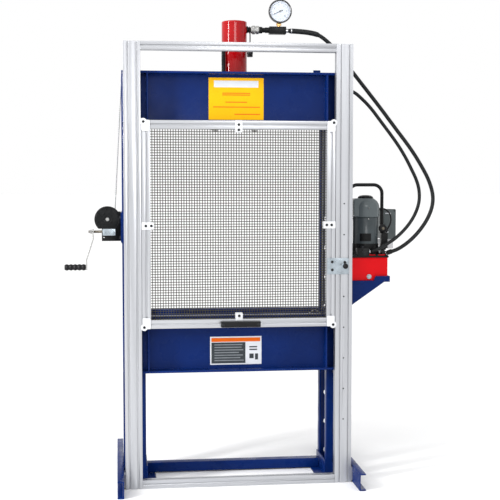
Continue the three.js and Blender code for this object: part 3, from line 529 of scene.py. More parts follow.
# ---------------------------------------------------------------- welded frame and bed
for node in (
    "upright_front_left", "upright_rear_left", "upright_front_right", "upright_rear_right", "foot_left", "foot_right",
    "base_angle_left", "base_angle_right", "base_cross_member", "bolster_front", "bolster_rear", "cylinder_plate",
    "winch_plate", "pump_shelf", "bed_front", "bed_rear", "bed_spacer_left", "bed_spacer_right",
):
    refined(node, BLUE, 1.6 if node not in ("winch_plate", "cylinder_plate") else 1.0)

AXIS_Y = -39  # press axis, front to back
DOWN = (Vector((0, 0, -1)), Vector((1, 0, 0)), Vector((0, -1, 0)))
TOWARDS = (Vector((0, -1, 0)), Vector((0, 0, 1)), Vector((-1, 0, 0)))  # screws driven in from the front
plate_bolts = Shape()
for x in (-100, -84, 84, 100):
    for y in (-87, 9):
        if abs(x) == (100 if x * y > 0 else 84):
            plate_bolts.hexagon(DOWN, (x, y, 0), -1612.8, -1602, 12)
piece(plate_bolts, "plate_bolts", "frame", STEEL, 0.5)

bail_points = [(329, -180, 767), (329.5, -180, 770), (351, -180, 785), (353, -180, 786.5), (355, -180, 785),
               (376.5, -180, 770), (377, -180, 767)]
bail = Shape().tube(spline(bail_points, 4), 2.2, 12)
for x in (329, 377):
    bail.turned("Z", (x, -180, 0), [(765.5, 0), (765.5, 5), (767, 4.6), (769.5, 2.6), (770, 0)], 20)
piece(bail, "bed_bail", "bed", WIRE)

PIN_Z, PIN_R = 494.9, 16.2
for side, s in (("left", -1), ("right", 1)):
    profile = [
        (-213, 0), (-213, PIN_R - 3), (-212, PIN_R - 2), (-210, PIN_R), (143, PIN_R), (143, PIN_R + 4.4),
        (143.8, PIN_R + 5), (150.2, PIN_R + 5), (151, PIN_R + 4.2), (151, 6), (149.6, 5), (149.6, 0),
    ]
    piece(
        Shape().turned("Y", (s * 460.5, 0, PIN_Z), profile, 64), f"bed_pin_{side}_turned", f"pin_{side}",
        STEEL, 0, [f"bed_pin_{side}"],
    )

for side, s in (("left", -1), ("right", 1)):
    bracket = Shape()
    bracket.box(s * 478, s * 517.2, -218.6, -214.4, 10, 66).box(s * 513.2, s * 517.4, -218.4, -168, 10, 66)
    piece(bracket, f"foot_bracket_{side}", "frame", ZINC, 0.8)
    screws = Shape()
    for z in (24, 52):
        screws.button("Y", (s * 492, 0, z), -214.4, -208.8, 7)
        along = (Vector((-s, 0, 0)), Vector((0, 1, 0)), Vector((0, 0, -s)))
        screws.button(along, (0, -186, z), -513.2, -507.6, 7)
    piece(screws, f"foot_bracket_screws_{side}", "frame", STEEL)


# ---------------------------------------------------------------- guard
refined("guard_post_left", ALU_Z, 0.7)
refined("guard_post_right", ALU_Z, 0)
for node in ("guard_rail_top", "guard_rail_bottom", "door_rail_top", "door_rail_bottom"):
    refined(node, ALU_X, 0.7)
for node in ("door_stile_left", "door_stile_right"):
    refined(node, ALU_Z, 0.7)

FRONT = -257.0  # front face of the guard's bars
MID_Y = -237.95
PITCH = 11.69  # as measured in the photo at this scale
wires = Shape()
for i in range(-34, 35):
    x = PITCH * i
    wires.tube([(x, MID_Y + 0.9, 750.4), (x, MID_Y + 0.9, 1605.6)], 1.6, 8)
for i in range(73):
    z = 758.8 + PITCH * i
    if z < 1605:
        wires.tube([(-399.4, MID_Y - 0.9, z), (399.4, MID_Y - 0.9, z)], 1.6, 8)
piece(wires, "mesh_wires", "door", MESH, 0, ["mesh_panel"])

plates, corner_screws, clip_screws = Shape(), Shape(), Shape()
for sx in (-1, 1):
    for top in (0, 1):
        cz = 1631 if top else 725
        d = -1 if top else 1
        cx = sx * 424
        outline = []
        for i in range(15):
            a = math.radians(-60 + 210 * i / 14)
            outline.append((cx + sx * 15.5 * math.cos(a), cz - d * 15.5 * math.sin(a)))
        outline += [(sx * 396, cz - d * 7), (sx * 396, cz + d * 36), (sx * 400, cz + d * 41), (sx * 428, cz + d * 41),
                    (sx * 432, cz + d * 36)]
        outline = [p for k, p in enumerate(outline) if k == 0 or (Vector(p) - Vector(outline[k - 1])).length > 0.5]
        plates.prism("Y", outline, FRONT - 3.4, FRONT - 0.4)
        corner_screws.button(TOWARDS, (cx, 0, cz), -FRONT + 3.4, -FRONT + 7.4, 6)
for x0, x1, z0, z1, bolts in (
    (-19, 13, 1588, 1639, [(-3.5, 1620), (-3.5, 1597)]),
    (-18, 14, 750, 782, [(-2, 771)]),
    (-433, -380, 1158, 1190, [(-415, 1174), (-391, 1174)]),
    (380, 433, 1159, 1191, [(415, 1175), (393, 1175)]),
):
    plates.box(x0, x1, FRONT - 3.4, FRONT - 0.4, z0, z1)
    for x, z in bolts:
        clip_screws.button(TOWARDS, (x, 0, z), -FRONT + 3.4, -FRONT + 7.4, 6)
piece(plates, "door_plates", "door", ALU_PLATE, 0.7)
piece(corner_screws, "corner_screws", "door", DARK)
piece(clip_screws, "clip_screws", "door", DARK)

backing = Shape()
for x0, x1, z0, z1 in ((-19, 13, 1586, 1598), (-18, 14, 758, 784), (-393, -378, 1158, 1190), (378, 393, 1159, 1191)):
    backing.box(x0, x1, MID_Y - 5.2, MID_Y - 2.2, z0, z1).box(x0, x1, MID_Y + 2.2, MID_Y + 5.2, z0, z1)
piece(backing, "clip_backing", "door", ALU_PLATE, 0.5)

refined("latch_plate", ZINC, 0.8)
latch_screws = Shape()
for x, z in ((418, 1008.6), (418.5, 972.5), (476, 1006.5)):
    latch_screws.button(TOWARDS, (x, 0, z), 262.5, 266.8, 6.5)
piece(latch_screws, "latch_screws", "door", DARK)
knob_profile = [(-305.2, 0)]
for i in range(1, 17):
    a = math.pi * i / 18
    knob_profile.append((-292.7 - 12.2 * math.cos(a), 12.2 * math.sin(a)))
knob_profile += [(-281.2, 6.2), (-280.0, 6.4), (-278.8, 5.6), (-278.8, 3), (-258.3, 3), (-257.4, 2.2), (-257.4, 0)]
piece(
    Shape().turned("Y", (472.9, 0, 991), knob_profile, 48), "plunger_knob", "plunger", PLASTIC, 0,
    ["index_plunger"],
)
refined("door_handle", PLASTIC, 2.4)
handle_screws = Shape()
for x in (-75, 83):
    handle_screws.button(TOWARDS, (x, 0, 734.5), 283.9, 286.5, 5.5)
piece(handle_screws, "handle_screws", "door", DARK)
# Black discs just inside the index holes: painted shade for the dark hole interiors.
hole_shade_discs = Shape()
for i in range(8):
    if i != 5:
        hole_shade_discs.turned("Y", (472.9, 0, 292.5 + 139.7 * i), [(-255.6, 0), (-255.6, 3.5), (-254.6, 3.5), (-254.6, 0)], 16)
piece(hole_shade_discs, "index_hole_painted_shade", "frame", PLASTIC)


# ---------------------------------------------------------------- labels, plain panels without any text
def panel(name, mat, x0, x1, z0, z1, y, body, thick=0.35):
    piece(Shape().box(x0, x1, y - thick, y, z0, z1), name, body, mat)


WEB = -153.4
panel("head_label", YELLOW, -128, 121, 1647, 1835, WEB - 0.3, "frame")
panel("head_label_band", WHITE, -104, 97, 1792, 1822, WEB - 0.7, "frame")
for i, (x0, x1, z) in enumerate(((-66, 60, 1766), (-66, 60, 1758), (-52, 46, 1726), (-108, 104, 1704), (-12, 104, 1672))):
    panel(f"head_label_line_{i}", ORANGE, x0, x1, z - 2, z + 2, WEB - 0.7, "frame")
BED_WEB = -153.7
panel("bed_label", WHITE, -124, 112, 535, 664, BED_WEB - 0.3, "bed")
panel("bed_label_band", ORANGE, -118, 106, 640, 658, BED_WEB - 0.7, "bed")
panel("bed_label_block", LABEL_GREY, -118, 38, 541, 637, BED_WEB - 0.7, "bed")
for i in range(7):
    z = 552 + 12 * i
    panel(f"bed_label_line_{i}", LABEL_LINE, -104, (30, 14, 26, 8, 28, 20, 24)[i], z, z + 4.5, BED_WEB - 1.1, "bed")
for i, (x0, x1, z0, z1) in enumerate(((56, 92, 600, 606), (56, 92, 612, 618), (56, 76, 562, 584), (82, 96, 556, 584))):
    panel(f"bed_label_mark_{i}", LABEL_GREY, x0, x1, z0, z1, BED_WEB - 0.7, "bed")


# ---------------------------------------------------------------- cylinder, ram and gauge
cylinder = Shape().turned(
    "Z", (0, AXIS_Y, 0),
    [
        (2060, 0), (2060, 45), (1690, 45), (1690, 30.5), (1638.3, 30.5), (1638.3, 57.2), (1639, 58), (2086, 58),
        (2086.6, 57.3), (2088, 57.3), (2088.6, 58), (2096, 58), (2099, 57), (2100.5, 54.6), (2103.5, 40), (2105.4, 20),
        (2106, 0),
    ],
    96,
)
piece(cylinder, "cylinder_barrel", "frame", RED, 0, ["cylinder_body"], 35)
mount = Shape().box(-115, 115, AXIS_Y - 70, AXIS_Y + 70, 1638.3, 1658.3)
mount.turned("Z", (0, AXIS_Y, 0), [(1658.3, 0), (1658.3, 66), (1661, 64.5), (1666, 59), (1668, 57.5), (1668, 0)], 72)
piece(mount, "cylinder_mount", "frame", RED, 1.6)
boss = Shape().turned("X", (0, AXIS_Y, 2066), [(50, 0), (50, 16), (61.5, 16), (63, 15), (64, 13.5), (64, 0)], 40)
piece(boss, "cylinder_port_boss", "frame", BLACK)
ports = Shape()
port_dir = Vector((-55, -86 - AXIS_Y, 0)).normalized()
side = (port_dir, Vector((0, 0, 1)), port_dir.cross(Vector((0, 0, 1))))
ports.turned(side, (0, AXIS_Y, 1985), [(50, 0), (50, 10.5), (59, 10.5), (60, 9.4), (66, 9.4), (66, 0)], 24)
piece(ports, "cylinder_ports", "frame", RED)
elbow = Shape().tube(
    spline([(port_dir.x * 58, AXIS_Y + port_dir.y * 58, 1985), (port_dir.x * 64, AXIS_Y + port_dir.y * 64, 1985),
            (-54.5, -85.3, 1981.5), (-55, -86, 1977)], 6), 8.2, 20)
elbow.hexagon(DOWN, (-55, -86, 0), -1979, -1968, 10.4)
piece(elbow, "retract_elbow", "frame", BLACK, 0.4)
ram = Shape().turned(
    "Z", (0, AXIS_Y, 0),
    [(1613, 0), (1613, 20), (1614.5, 21), (1614.5, 26), (1613, 27), (1614, 28.6), (1616, 30), (1990, 30), (1990, 44.5),
     (2030, 44.5), (2030, 0)],
    72,
)
piece(ram, "ram_turned", "ram", CHROME, 0, ["ram"])
flange_screws = Shape()
for x in (-95, 95):
    for y in (-90, 12):
        flange_screws.hexagon("Z", (x, y, 0), 1658.3, 1669, 11)
piece(flange_screws, "flange_screws", "frame", DARK, 0.5)

C = (0, AXIS_Y, 2065)
fitting = Shape()
fitting.hexagon("X", C, 64.4, 76, 13.5).turned(
    "X", C,
    [(113, 0), (113, 15), (118, 15.4), (128, 15), (130, 13), (131, 11.2), (143, 11.2), (144, 12.6), (160.6, 12.6),
     (160.6, 0)],
    40,
)
piece(fitting, "coupler_fitting", "frame", BLACK, 0.4, ["coupler"])


def knurl(count, depth):
    return lambda t, a: 1 + depth * (1 if math.sin(count * t) > 0 else -1)


rings = Shape().turned("X", C, [(76, 0), (76, 15.8), (82.4, 17), (83, 17), (83, 10)], 48)
rings.turned("X", C, [(83, 10), (83, 19), (84.4, 19.6), (94.6, 19.6), (96, 19), (96, 10)], 96, knurl(24, 0.018))
rings.turned("X", C, [(96, 10), (96, 16), (100, 16), (100, 10)], 48)
rings.turned("X", C, [(100, 10), (100, 18), (101.4, 18.7), (111.6, 18.7), (113, 18), (113, 10)], 96, knurl(24, 0.018))
piece(rings, "coupler_rings", "frame", STEEL, 0)
collar = Shape().turned("X", (0, AXIS_Y, 2065), [(144, 8), (144, 13.2), (147.5, 13.2), (147.5, 8)], 40)
collar.box(166, 206, AXIS_Y - 17.9, AXIS_Y - 17.05, 2066.2, 2068)
piece(collar, "coupler_collar", "frame", BLACK, 0.2)
refined("gauge_block", BLACK, 1.8)
nipple = Shape().turned(
    "X", (0, AXIS_Y, 2064),
    [(239.2, 7), (239.2, 10.6), (242.4, 10.6), (243.4, 9.4), (248.6, 9.4), (248.6, 7)], 36,
)
piece(nipple, "nipple_ring", "frame", CHROME, 0.2)
crimp = Shape().turned("X", (0, -40.2, 2062.6), [(262, 10), (262, 12.7), (264.5, 13), (267, 12.7), (267, 10)], 36)
piece(crimp, "sleeve_crimp", "frame", CHROME, 0.2)

GX, GZ = 206, 2150
foot = Vector((GX, AXIS_Y, GZ - 69))
LEAN = Matrix.Translation(foot) @ Matrix.Rotation(0.07, 4, "Y") @ Matrix.Translation(-foot)
G = (GX, 0, GZ)
case = Shape().turned(
    "Y", G,
    [(-27, 0), (-27, 46), (-28.5, 48.5), (-33, 52), (-52.5, 52), (-53, 53.2), (-54.5, 54), (-58, 54), (-60, 53.2),
     (-61, 51.4), (-61, 49.4), (-59.6, 47.6), (-57, 46.6), (-55.2, 46.4), (-55.2, 0)],
    96,
)
piece(case.moved(LEAN), "gauge_case_turned", "frame", CHROME_PAINTED_REFLECTION, 0, ["gauge_case"])
dial = Shape().turned("Y", G, [(-55.9, 0), (-55.9, 46.3), (-55.2, 46.3), (-55.2, 0)], 72)
piece(dial.moved(LEAN), "gauge_dial", "frame", DIAL)


def on_dial(angle, radius):
    a = math.radians(angle)
    return GX + radius * math.cos(a), GZ + radius * math.sin(a)


ink = Shape()
ZERO, SWEEP, MARKS = 208, -250, 50
for i in range(MARKS + 1):
    angle = ZERO + SWEEP * i / MARKS
    major = i % 5 == 0
    inner, outer, half = (35.5, 42, 0.75) if major else (38.5, 42, 0.35)
    a = math.radians(angle)
    across = Vector((-math.sin(a), 0, math.cos(a))) * half
    (x0, z0), (x1, z1) = on_dial(angle, inner), on_dial(angle, outer)
    lo, hi = Vector((x0, 0, z0)), Vector((x1, 0, z1))
    corners = [lo - across, hi - across, hi + across, lo + across]
    ink.prism("Y", [(c.x, c.z) for c in corners], -56.15, -55.95)
for i in range(0, 11, 2):
    text = bpy.data.curves.new("number", "FONT")
    text.body, text.size, text.extrude = str(i), 8.5, 0.1
    text.align_x, text.align_y = "CENTER", "CENTER"
    holder = bpy.data.objects.new("number", text)
    scene.collection.objects.link(holder)
    bpy.context.view_layer.update()
    digits = bpy.data.meshes.new_from_object(holder)
    x, z = on_dial(ZERO + SWEEP * i / 10, 29.5)
    ink.add([(x + v.co.x, -56.05 - v.co.z, z + v.co.y) for v in digits.vertices], [list(p.vertices) for p in digits.polygons])
    bpy.data.objects.remove(holder)
    bpy.data.meshes.remove(digits)
piece(ink.moved(LEAN), "gauge_scale", "frame", INK)
pointer_at = math.radians(208)
pointer = Shape().prism(
    "Y",
    [
        (
            GX + a * math.cos(pointer_at) - b * math.sin(pointer_at),
            GZ + a * math.sin(pointer_at) + b * math.cos(pointer_at),
        )
        for a, b in (
            (38, 0.25), (6, 1.5), (0, 1.8), (-8, 1.4), (-13, 2.6), (-13, -2.6), (-8, -1.4), (0, -1.8), (6, -1.5),
            (38, -0.25),
        )
    ],
    -58, -57.2,
)
pointer.turned("Y", G, [(-59.2, 0), (-59.2, 3), (-58.6, 4.2), (-57, 4.2), (-57, 0)], 32)
piece(pointer.moved(LEAN), "gauge_pointer", "needle", INK, 0, ["gauge_needle"])
glass = Shape().turned("Y", G, [(-60.4, 0), (-60.2, 20), (-59.7, 40), (-59.4, 47.4), (-59.2, 47.4), (-59.3, 0)], 64)
piece(glass.moved(LEAN), "gauge_glass", "frame", GLASS)
stem = Shape()
stem.hexagon("Z", (GX, AXIS_Y, 0), GZ - 63, GZ - 51.5, 12).turned(
    "Z", (GX, AXIS_Y, 0), [(GZ - 68.6, 0), (GZ - 68.6, 8), (GZ - 66, 7.4), (GZ - 62.6, 7.4), (GZ - 62.6, 0)], 32
)
piece(stem.moved(LEAN), "gauge_stem", "frame", BRASS, 0.5)
vent = Shape().turned(
    "Z", (GX, -42, 0), [(GZ + 50, 0), (GZ + 50, 7), (GZ + 52.6, 7), (GZ + 54.4, 5.4), (GZ + 54.8, 0)], 28
)
piece(vent.moved(LEAN), "gauge_vent", "frame", WHITE)

cap = Shape().turned(
    "Z", (67.5, -82, 0),
    [(1937, 0), (1937, 11.5), (1938, 13), (1944, 13.2), (1945, 12.2), (1947, 12.2), (1948, 13.4), (1960, 13.4), (1961, 12.4),
     (1962.4, 12.4), (1963.2, 13.2), (1965, 12.8), (1966, 11.5), (1966, 0)],
    60, lambda t, a: 1 + (0.018 if 1948 <= a <= 1960 and math.sin(15 * t) > 0 else 0),
)
strap = [(70, AXIS_Y - 14.6, 2065), (71, AXIS_Y - 16, 2046), (70, -66, 2016), (68.5, -78, 1986), (67.5, -82, 1964)]
cap.tube(spline(strap, 6), 2.6, 12)
cap.ring("X", (0, AXIS_Y, 2065), 70, 14.4, 1.5)
piece(cap, "dust_cap_moulded", "frame", PLASTIC, 0, ["dust_cap"])


# ---------------------------------------------------------------- winch
refined("winch_frame", BLACK, 1.2)
refined("gear_cover", BLACK, 1.2)
W = (-583, 0, 1200)
cast = Shape()
for angle, r in ((200, 46), (222, 46), (244, 46), (96, 44), (70, 43), (125, 30)):
    a = math.radians(angle)
    cast.button(TOWARDS, (W[0] + r * math.cos(a), 0, W[2] + r * math.sin(a)), 133, 135.4, 4.2)
cast.ring("Y", W, -133, 20, 1.6, 48, 8).ring("Y", W, -132.8, 52, 1.4, 64, 8)
cast.verts = [Vector((v.x, v.y, max(v.z, 1158.4))) for v in cast.verts]  # the cover is cut off flat below
piece(cast, "gear_cover_rings", "frame", BLACK)
drum = Shape().turned(
    "Y", W,
    [(-136.5, 0), (-136.5, 6.6), (-135, 8), (-127, 8), (-127, 45.5), (-126, 46), (-116, 46), (-115, 45.5), (-115, 8),
     (-100, 8), (-100, 47.5), (-99.5, 48), (-97.5, 48), (-97, 47.5), (-97, 29), (-19, 29), (-19, 47.5), (-18.5, 48),
     (-16.5, 48), (-16, 47.5), (-16, 8), (-4, 8), (-4, 0)],
    72,
)
piece(drum, "drum_turned", "drum", STEEL, 0, ["winch_drum"])
winding = Shape()
for i in range(15):
    y = -94.4 + 5.15 * i
    if y < -19:
        winding.ring("Y", W, y, 31.4, 2.4, 48, 8)
piece(winding, "drum_winding", "drum", WIRE)
refined("worm_bracket", ZINC, 0.8)
bracket_screws = Shape()
for x in (-597, -558):
    bracket_screws.hexagon(TOWARDS, (x, 0, 1141), 134, 138.2, 6.2)
piece(bracket_screws, "bracket_screws", "frame", ZINC, 0.4)
winch_bolts = Shape()
LEFTWARDS = (Vector((-1, 0, 0)), Vector((0, 1, 0)), Vector((0, 0, 1)))
for y in (-130, 12, 52):
    for z in (1118, 1208):
        winch_bolts.hexagon(LEFTWARDS, (0, y, z), 523.6, 530, 8)
piece(winch_bolts, "winch_bolts", "frame", DARK, 0.4)

S = (0, -121, 1144)
thread = [(-668, 0), (-668, 5)]
for i in range(30):
    thread += [(-666.5 + 2.2 * i, 6), (-665.4 + 2.2 * i, 5.3)]
shaft = Shape().turned("X", S, [*thread, (-600, 6), (-599, 6), (-599, 9.3), (-555, 9.3), (-555, 0)], 32)
piece(shaft, "worm_shaft_turned", "crank", WORN, 0, ["worm_shaft"])
wing = Shape().turned("X", S, [(-661, 0), (-661, 7.5), (-659.5, 9), (-652.5, 9), (-652, 8.4), (-652, 0)], 32)
for sy in (-1, 1):
    lobe = [
        (-653, sy * 7), (-652.5, sy * 12), (-655.5, sy * 17), (-660, sy * 20.5), (-664.5, sy * 20), (-665.5, sy * 17),
        (-662, sy * 13), (-660.5, sy * 7),
    ]
    wing.prism("Z", [(x, -121 + y) for x, y in lobe], 1142, 1146)
piece(wing, "wing_nut", "crank", STEEL, 0.8)
refined("crank_arm", STEEL, 0.9)

grip_profile = [(-776, 0), (-776, 9.5), (-775, 11)]
for i in range(1, 60):
    x = -775 + 93.2 * i / 60
    grip_profile.append((x, 13 - 1.4 * math.cos(2 * math.pi * 5 * i / 60)))
grip_profile += [(-681.6, 11), (-681.1, 9.6), (-681.1, 4.4)]
piece(
    Shape().turned("X", (0, -121, 984), grip_profile, 48, lambda t, a: 1 + 0.012 * math.cos(12 * t)),
    "grip_moulded", "grip", PLASTIC, 0, ["crank_grip"],
)

# ---------------------------------------------------------------- ropes and sheaves
SHEAVE_LEFT, SHEAVE_RIGHT = (-463, 1822), (398.4, 1846)


def sheave(name, body, node, centre, pitch, grooves, pin_from, pin_to):
    profile = [(pin_from, 0), (pin_from, 8), (pin_from + 1, 9)]
    for g in grooves:
        profile += [(g - 4, 9), (g - 4, pitch * 0.45), (g - 2.6, pitch * 0.5), (g - 2.6, pitch * 0.85), (g - 4, pitch - 2),
                    (g - 4, pitch + 1.4), (g - 3.4, pitch + 2), (g - 1.6, pitch - 2.2), (g, pitch - 3.2),
                    (g + 1.6, pitch - 2.2), (g + 3.4, pitch + 2), (g + 4, pitch + 1.4), (g + 4, pitch - 2),
                    (g + 2.6, pitch * 0.85), (g + 2.6, pitch * 0.5), (g + 4, pitch * 0.45), (g + 4, 9)]
    profile += [(pin_to - 1, 9), (pin_to, 8), (pin_to, 0)]
    piece(Shape().turned("Y", (centre[0], 0, centre[1]), profile, 72), name, body, STEEL, 0, [node])


sheave("sheave_left_turned", "sheave_left", "head_sheave_left", SHEAVE_LEFT, 54, (-101, 23), -146.7, 68.7)
sheave("sheave_right_turned", "sheave_right", "head_sheave_right", SHEAVE_RIGHT, 30, (23,), 14, 40)


def strand(t):
    return 1.0 if round(t / (math.pi / 6)) % 2 == 0 else 0.84


def rope(name, points, body="frame", replaces=()):
    """A stranded wire rope: a lobed section that turns as it goes."""
    fine = [Vector(points[0])]
    for a, b in zip(points, points[1:]):
        a, b = Vector(a), Vector(b)
        steps = max(1, round((b - a).length / 5))
        fine += [a.lerp(b, k / steps) for k in range(1, steps + 1)]
    shape = Shape().tube(fine, 2.5, 12, 0.55, strand)
    return piece(shape, name, body, WIRE, 0, replaces, 50)


START_X = -583 + 29 + 2.5 + 0.3
rope(
    "rope_right",
    [(START_X, -32, 1200), *arc(SHEAVE_LEFT, 54, 23, 180, 90, 14), *arc(SHEAVE_RIGHT, 30, 23, 90, 0, 12)],
    replaces=["winch_rope_right"],
)
rope("rope_left", [(START_X, -80, 1200), *arc(SHEAVE_LEFT, 54, -101, 180, 0, 24)], replaces=["winch_rope_left"])
for side, x, y, top in (("left", -409, -101, 1821.7), ("right", 428.4, 23, 1845.7)):
    lift = rope(f"lift_rope_{side}_stranded", [(x, y, 771.9), (x, y, top)], None, [f"lift_rope_{side}"])
    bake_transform(lift)
    hardware = Shape()
    hardware.turned("Z", (x, y, 0), [(771.4, 0), (771.4, 3.6), (772.6, 4.6), (781, 4.6), (782.2, 3.6), (782.2, 0)], 24)
    for z in (787, 797):
        hardware.box(x - 5.2, x + 5.2, y - 3.8, y + 3.8, z - 2.6, z + 2.6)
        hardware.turned("X", (0, y, z), [(x + 5, 0), (x + 5, 1.8), (x + 9, 1.8), (x + 9, 0)], 12)
    piece(hardware, f"rope_clamps_{side}", "bed", CHROME, 0.4)
    eye = Shape().tube(
        [(x + 6.6 * math.sin(t) * (0.35 + 0.65 * math.sin(t / 2) ** 2), y, 752 + 19 * math.cos(t))
         for t in (2 * math.pi * i / 32 for i in range(32))],
        1.9, 10, closed=True,
    )
    piece(eye, f"rope_thimble_{side}", "bed", WIRE)


# ---------------------------------------------------------------- pump
def rounded(x0, x1, y0, y1, r, steps=6):
    points = []
    for cx, cy, start in ((x1 - r, y1 - r, 0), (x0 + r, y1 - r, 90), (x0 + r, y0 + r, 180), (x1 - r, y0 + r, 270)):
        for i in range(steps + 1):
            a = math.radians(start + 90 * i / steps)
            points.append((cx + r * math.cos(a), cy + r * math.sin(a)))
    return points


tank = Shape().prism("Z", rounded(524, 705, -140, 60, 9), 912.3, 1014)
tank.prism("Z", rounded(522.4, 706.6, -141.6, 61.6, 10), 1014.3, 1018)
piece(tank, "reservoir_tank", "frame", TANK_RED, 1.4, ["reservoir"])
drain = Shape().turned("Y", (616, 0, 930), [(-140, 0), (-140, 11.5), (-141.4, 11.5), (-142, 10.5), (-142, 0)], 36)
drain.hexagon(TOWARDS, (616, 0, 930), 142, 147.4, 8.6)
piece(drain, "drain_plug", "frame", ZINC, 0.5)
refined("valve_manifold", BLACK, 1.2)
clutter = Shape()
for x, y in ((530, -134), (700, -134), (530, 54), (700, 54), (548, -134), (655, -134)):
    clutter.hexagon("Z", (x, y, 0), 1026.3, 1032, 6.5)
for a in range(30, 360, 60):
    clutter.hexagon("Z", (619 + 64.5 * math.cos(math.radians(a)), -42 + 64.5 * math.sin(math.radians(a)), 0), 1038, 1043, 5)
clutter.hexagon("Z", (588, -125, 0), 1062, 1071, 9).hexagon("Z", (692, -85, 0), 1054, 1060, 6)
clutter.turned("Y", (588, 0, 1044), [(-143.5, 0), (-143.5, 7), (-140, 8), (-140, 0)], 6)
piece(clutter, "manifold_screws", "frame", DARK, 0.5)
gasket = Shape().box(590, 650, -128, -113, 1026.4, 1031).box(658, 698, -128, -108, 1026.4, 1031)
piece(gasket, "red_filler_block", "frame", TANK_RED, 1)
ends = Shape()
for at, axis_points, r in (((627.5, -122, 1044), RETRACT, 8), ((711, -85, 1036), ADVANCE, 9)):
    a, b = Vector(axis_points[-1]), Vector(axis_points[-2])
    d = (b - a).normalized()
    u = d.cross(Vector((0, 1, 0))).normalized()
    basis = (d, u, d.cross(u))
    ends.turned(basis, a, [(-1, 0), (-1, r + 0.6), (4, r + 2.2), (22, r + 2.2), (25, r + 0.4), (25, 0)], 32)
piece(ends, "hose_ferrules", "frame", BLACK)
port_rings = Shape().ring("X", (0, -122, 1044), 621, 9.6, 2.6, 40, 12)
port_rings.turned("X", (0, -85, 1036), [(703, 7), (703, 10.4), (706, 10.4), (706, 7)], 6)
piece(port_rings, "port_rings", "frame", CHROME)

MOTOR_X, MOTOR_Y = 619, -42
M = (MOTOR_X, MOTOR_Y, 0)
body = Shape().turned(
    "Z", M, [(1038.3, 0), (1038.3, 57.5), (1040, 59), (1202, 59), (1203, 58.3), (1204.4, 58.3), (1204.4, 0)], 120
)
piece(body, "motor_shell", "frame", MOTOR, 0, ["motor"], 40)
bell = Shape().turned(
    "Z", M,
    [(1204.5, 0), (1204.5, 63.6), (1206, 65), (1250, 65), (1259, 64), (1267, 61.4), (1275, 56.8), (1282, 50.6),
     (1287.6, 43.6), (1291.4, 38), (1291.6, 0)],
    120,
)
piece(bell, "motor_bell", "frame", BELL, 0, (), 40)
terminal = Shape().prism("Y", rounded(554, 604, 1207, 1291, 9), -92, -2)
piece(terminal, "motor_terminal_box", "frame", BELL, 2.5)
lower = Shape().turned("Z", M, [(1039, 59.2), (1039, 60), (1078, 60), (1080, 59.6), (1080, 59.2)], 96)
for a in range(0, 360, 12):
    c, s_ = math.cos(math.radians(a)), math.sin(math.radians(a))
    x, y = MOTOR_X + 60 * c, MOTOR_Y + 60 * s_
    lower.box(x - 0.8, x + 0.8, y - 0.8, y + 0.8, 1044, 1076)
piece(lower, "motor_foot_band", "frame", BLACK, 0)
fan = Shape().turned(
    "Z", M, [(1290.8, 0), (1290.8, 37), (1293, 36.6), (1299, 33.6), (1303.4, 26), (1305.6, 14), (1306, 0)], 72
)
for k in range(3):
    fan.ring("Z", M, 1296 + 3.2 * k, 35.2 - 4.2 * k, 0.9, 64, 8)
piece(fan, "fan_cover", "frame", BLACK)
motor_trim = Shape()
for a in (-88, -5, 85, 175):
    c, s_ = math.cos(math.radians(a)), math.sin(math.radians(a))
    outward = (Vector((c, s_, 0)), Vector((0, 0, 1)), Vector((c, s_, 0)).cross(Vector((0, 0, 1))))
    motor_trim.button(outward, (MOTOR_X, MOTOR_Y, 1246), 61, 67, 4.6)
    motor_trim.button(outward, (MOTOR_X, MOTOR_Y, 1196), 58.4, 62, 3.6)
piece(motor_trim, "motor_screws", "frame", STEEL)
# A black nameplate on the motor's lower front; its black also stands in for shade on the motor's lower half, so it is
# partly painted shade.
nameplate_and_shade = Shape()
for k in range(13):
    edges = math.radians(-128 + 4 * k), math.radians(-124 + 4 * k)
    nameplate_and_shade.add(
        [(MOTOR_X + 59.6 * math.cos(a), MOTOR_Y + 59.6 * math.sin(a), z) for a in edges for z in (1092, 1128)],
        [(0, 1, 3, 2)],
    )
piece(nameplate_and_shade, "motor_plate_painted_shade", "frame", BLACK)

handle = [(619 - 79, -42, 1026.6), (619 - 79, -42, 1314)]
handle += [(619 - 39 - 40 * math.cos(math.radians(a)), -42, 1314 + 40 * math.sin(math.radians(a))) for a in range(9, 90, 9)]
handle += [(580, -42, 1354), (658, -42, 1354)]
handle += [(658 + 40 * math.sin(math.radians(a)), -42, 1314 + 40 * math.cos(math.radians(a))) for a in range(9, 90, 9)]
handle += [(698, -42, 1314), (698, -42, 1026.6)]
bar = Shape().tube(handle, 8, 24)
for x in (540, 698):
    bar.turned("Z", (x, -42, 0), [(1026.5, 0), (1026.5, 14), (1031, 14), (1032, 13), (1033, 8.4), (1033, 0)], 36)
piece(bar, "handle_tube", "frame", BLACK, 0, ["carry_handle"], 40)

K = (698, -50.3, 1150)
knob = Shape().turned(
    "Y", K,
    [(0, 0), (0, 8), (-5, 8), (-6, 15), (-8, 19.4), (-10, 20), (-14, 20), (-16, 19.2), (-18.5, 16.6), (-19.4, 12), (-19.8, 8.4),
     (-22.6, 8), (-23, 7), (-23, 0)],
    96, lambda t, a: 1 - (0.05 * max(0, math.cos(8 * t)) if -18.6 < a < -5.5 else 0),
)
piece(knob, "knob_moulded", "knob", PLASTIC, 0, ["valve_knob"], 40)
knob_bolt = Shape().hexagon(TOWARDS, (698, 0, 1150), 73.2, 76.3, 5.4)
knob_bolt.turned("Y", (698, 0, 1150), [(-73.6, 0), (-73.6, 7), (-72.8, 7), (-72.8, 0)], 32)
piece(knob_bolt, "knob_bolt", "knob", WORN, 0.3)
bonnet = Shape().turned("Z", (703, -67, 0), [(1058, 0), (1058, 11), (1050, 11), (1050, 0)], 6)
bonnet.hexagon("Z", (703, -67, 0), 1128, 1136, 9)
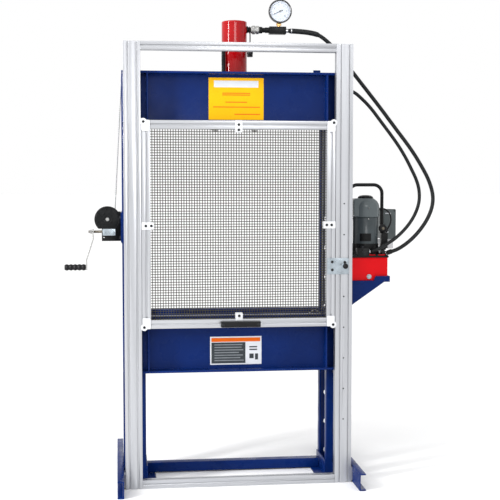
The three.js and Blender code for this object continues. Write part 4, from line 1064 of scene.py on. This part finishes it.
piece(bonnet, "valve_bonnet", "frame", BLACK, 0.5)

box_shell = Shape().prism("Y", [(x, z) for x, z in rounded(707.5, 776, 1097, 1238, 5)], 3.6, 90)
box_shell.prism("Y", [(x, z) for x, z in rounded(706.4, 777.1, 1095.9, 1239.1, 6)], 0, 4.2)
piece(box_shell, "control_box_shell", "frame", GREY, 1.2, ["control_box"])
# Two white patches on the front of the control box: painted highlights.
box_highlight_patches = Shape().box(726, 752, -0.8, 0.2, 1216, 1221).box(730, 742, -0.8, 0.2, 1128, 1132)
piece(box_highlight_patches, "box_painted_highlights", "frame", WHITE, 0.2)
box_screws = Shape()
for x in (714, 769.5):
    for z in (1104, 1231):
        box_screws.button(TOWARDS, (x, 0, z), 0, 2.4, 3.4)
piece(box_screws, "box_screws", "frame", DARK)
support = Shape().box(690, 770, 20, 24, 1050, 1096).box(690, 706, 20, 50, 1026.6, 1052)
piece(support, "box_bracket", "frame", ALU_PLATE, 0.8)
glands = Shape().turned("Z", (745, 60, 0), [(1081, 0), (1081, 7), (1084, 9), (1096, 9), (1096, 0)], 12)
glands.turned("Y", (728.5, 0, 1137), [(-13, 3.7), (-12, 4.6), (-5, 6), (-4.6, 9), (0.2, 9), (0.2, 3.7)], 32)
lead_dir = (Vector(MOTOR_LEAD[1]) - Vector(MOTOR_LEAD[0])).normalized()
u = lead_dir.cross(Vector((0, 0, 1))).normalized()
glands.turned((lead_dir, u, lead_dir.cross(u)), MOTOR_LEAD[0], [(-3, 9), (5, 9), (5.6, 6), (14, 4.6), (15, 3.7), (-3, 3.7)], 32)
piece(glands, "lead_glands", "frame", PLASTIC)


# ---------------------------------------------------------------- floor
ground = bpy.data.meshes.new("floor")
disc = bmesh.new()
bmesh.ops.create_circle(disc, cap_ends=True, segments=96, radius=120)
disc.to_mesh(ground)
disc.free()
floor = bpy.data.objects.new("floor", ground)
scene.collection.objects.link(floor)
floor.location.z = -0.0005
ground.materials.append(
    material("floor", (0.93, 0.93, 0.93), 0.8, vary=0.01, scale=3, bump=0.0, specular=0.1)
)
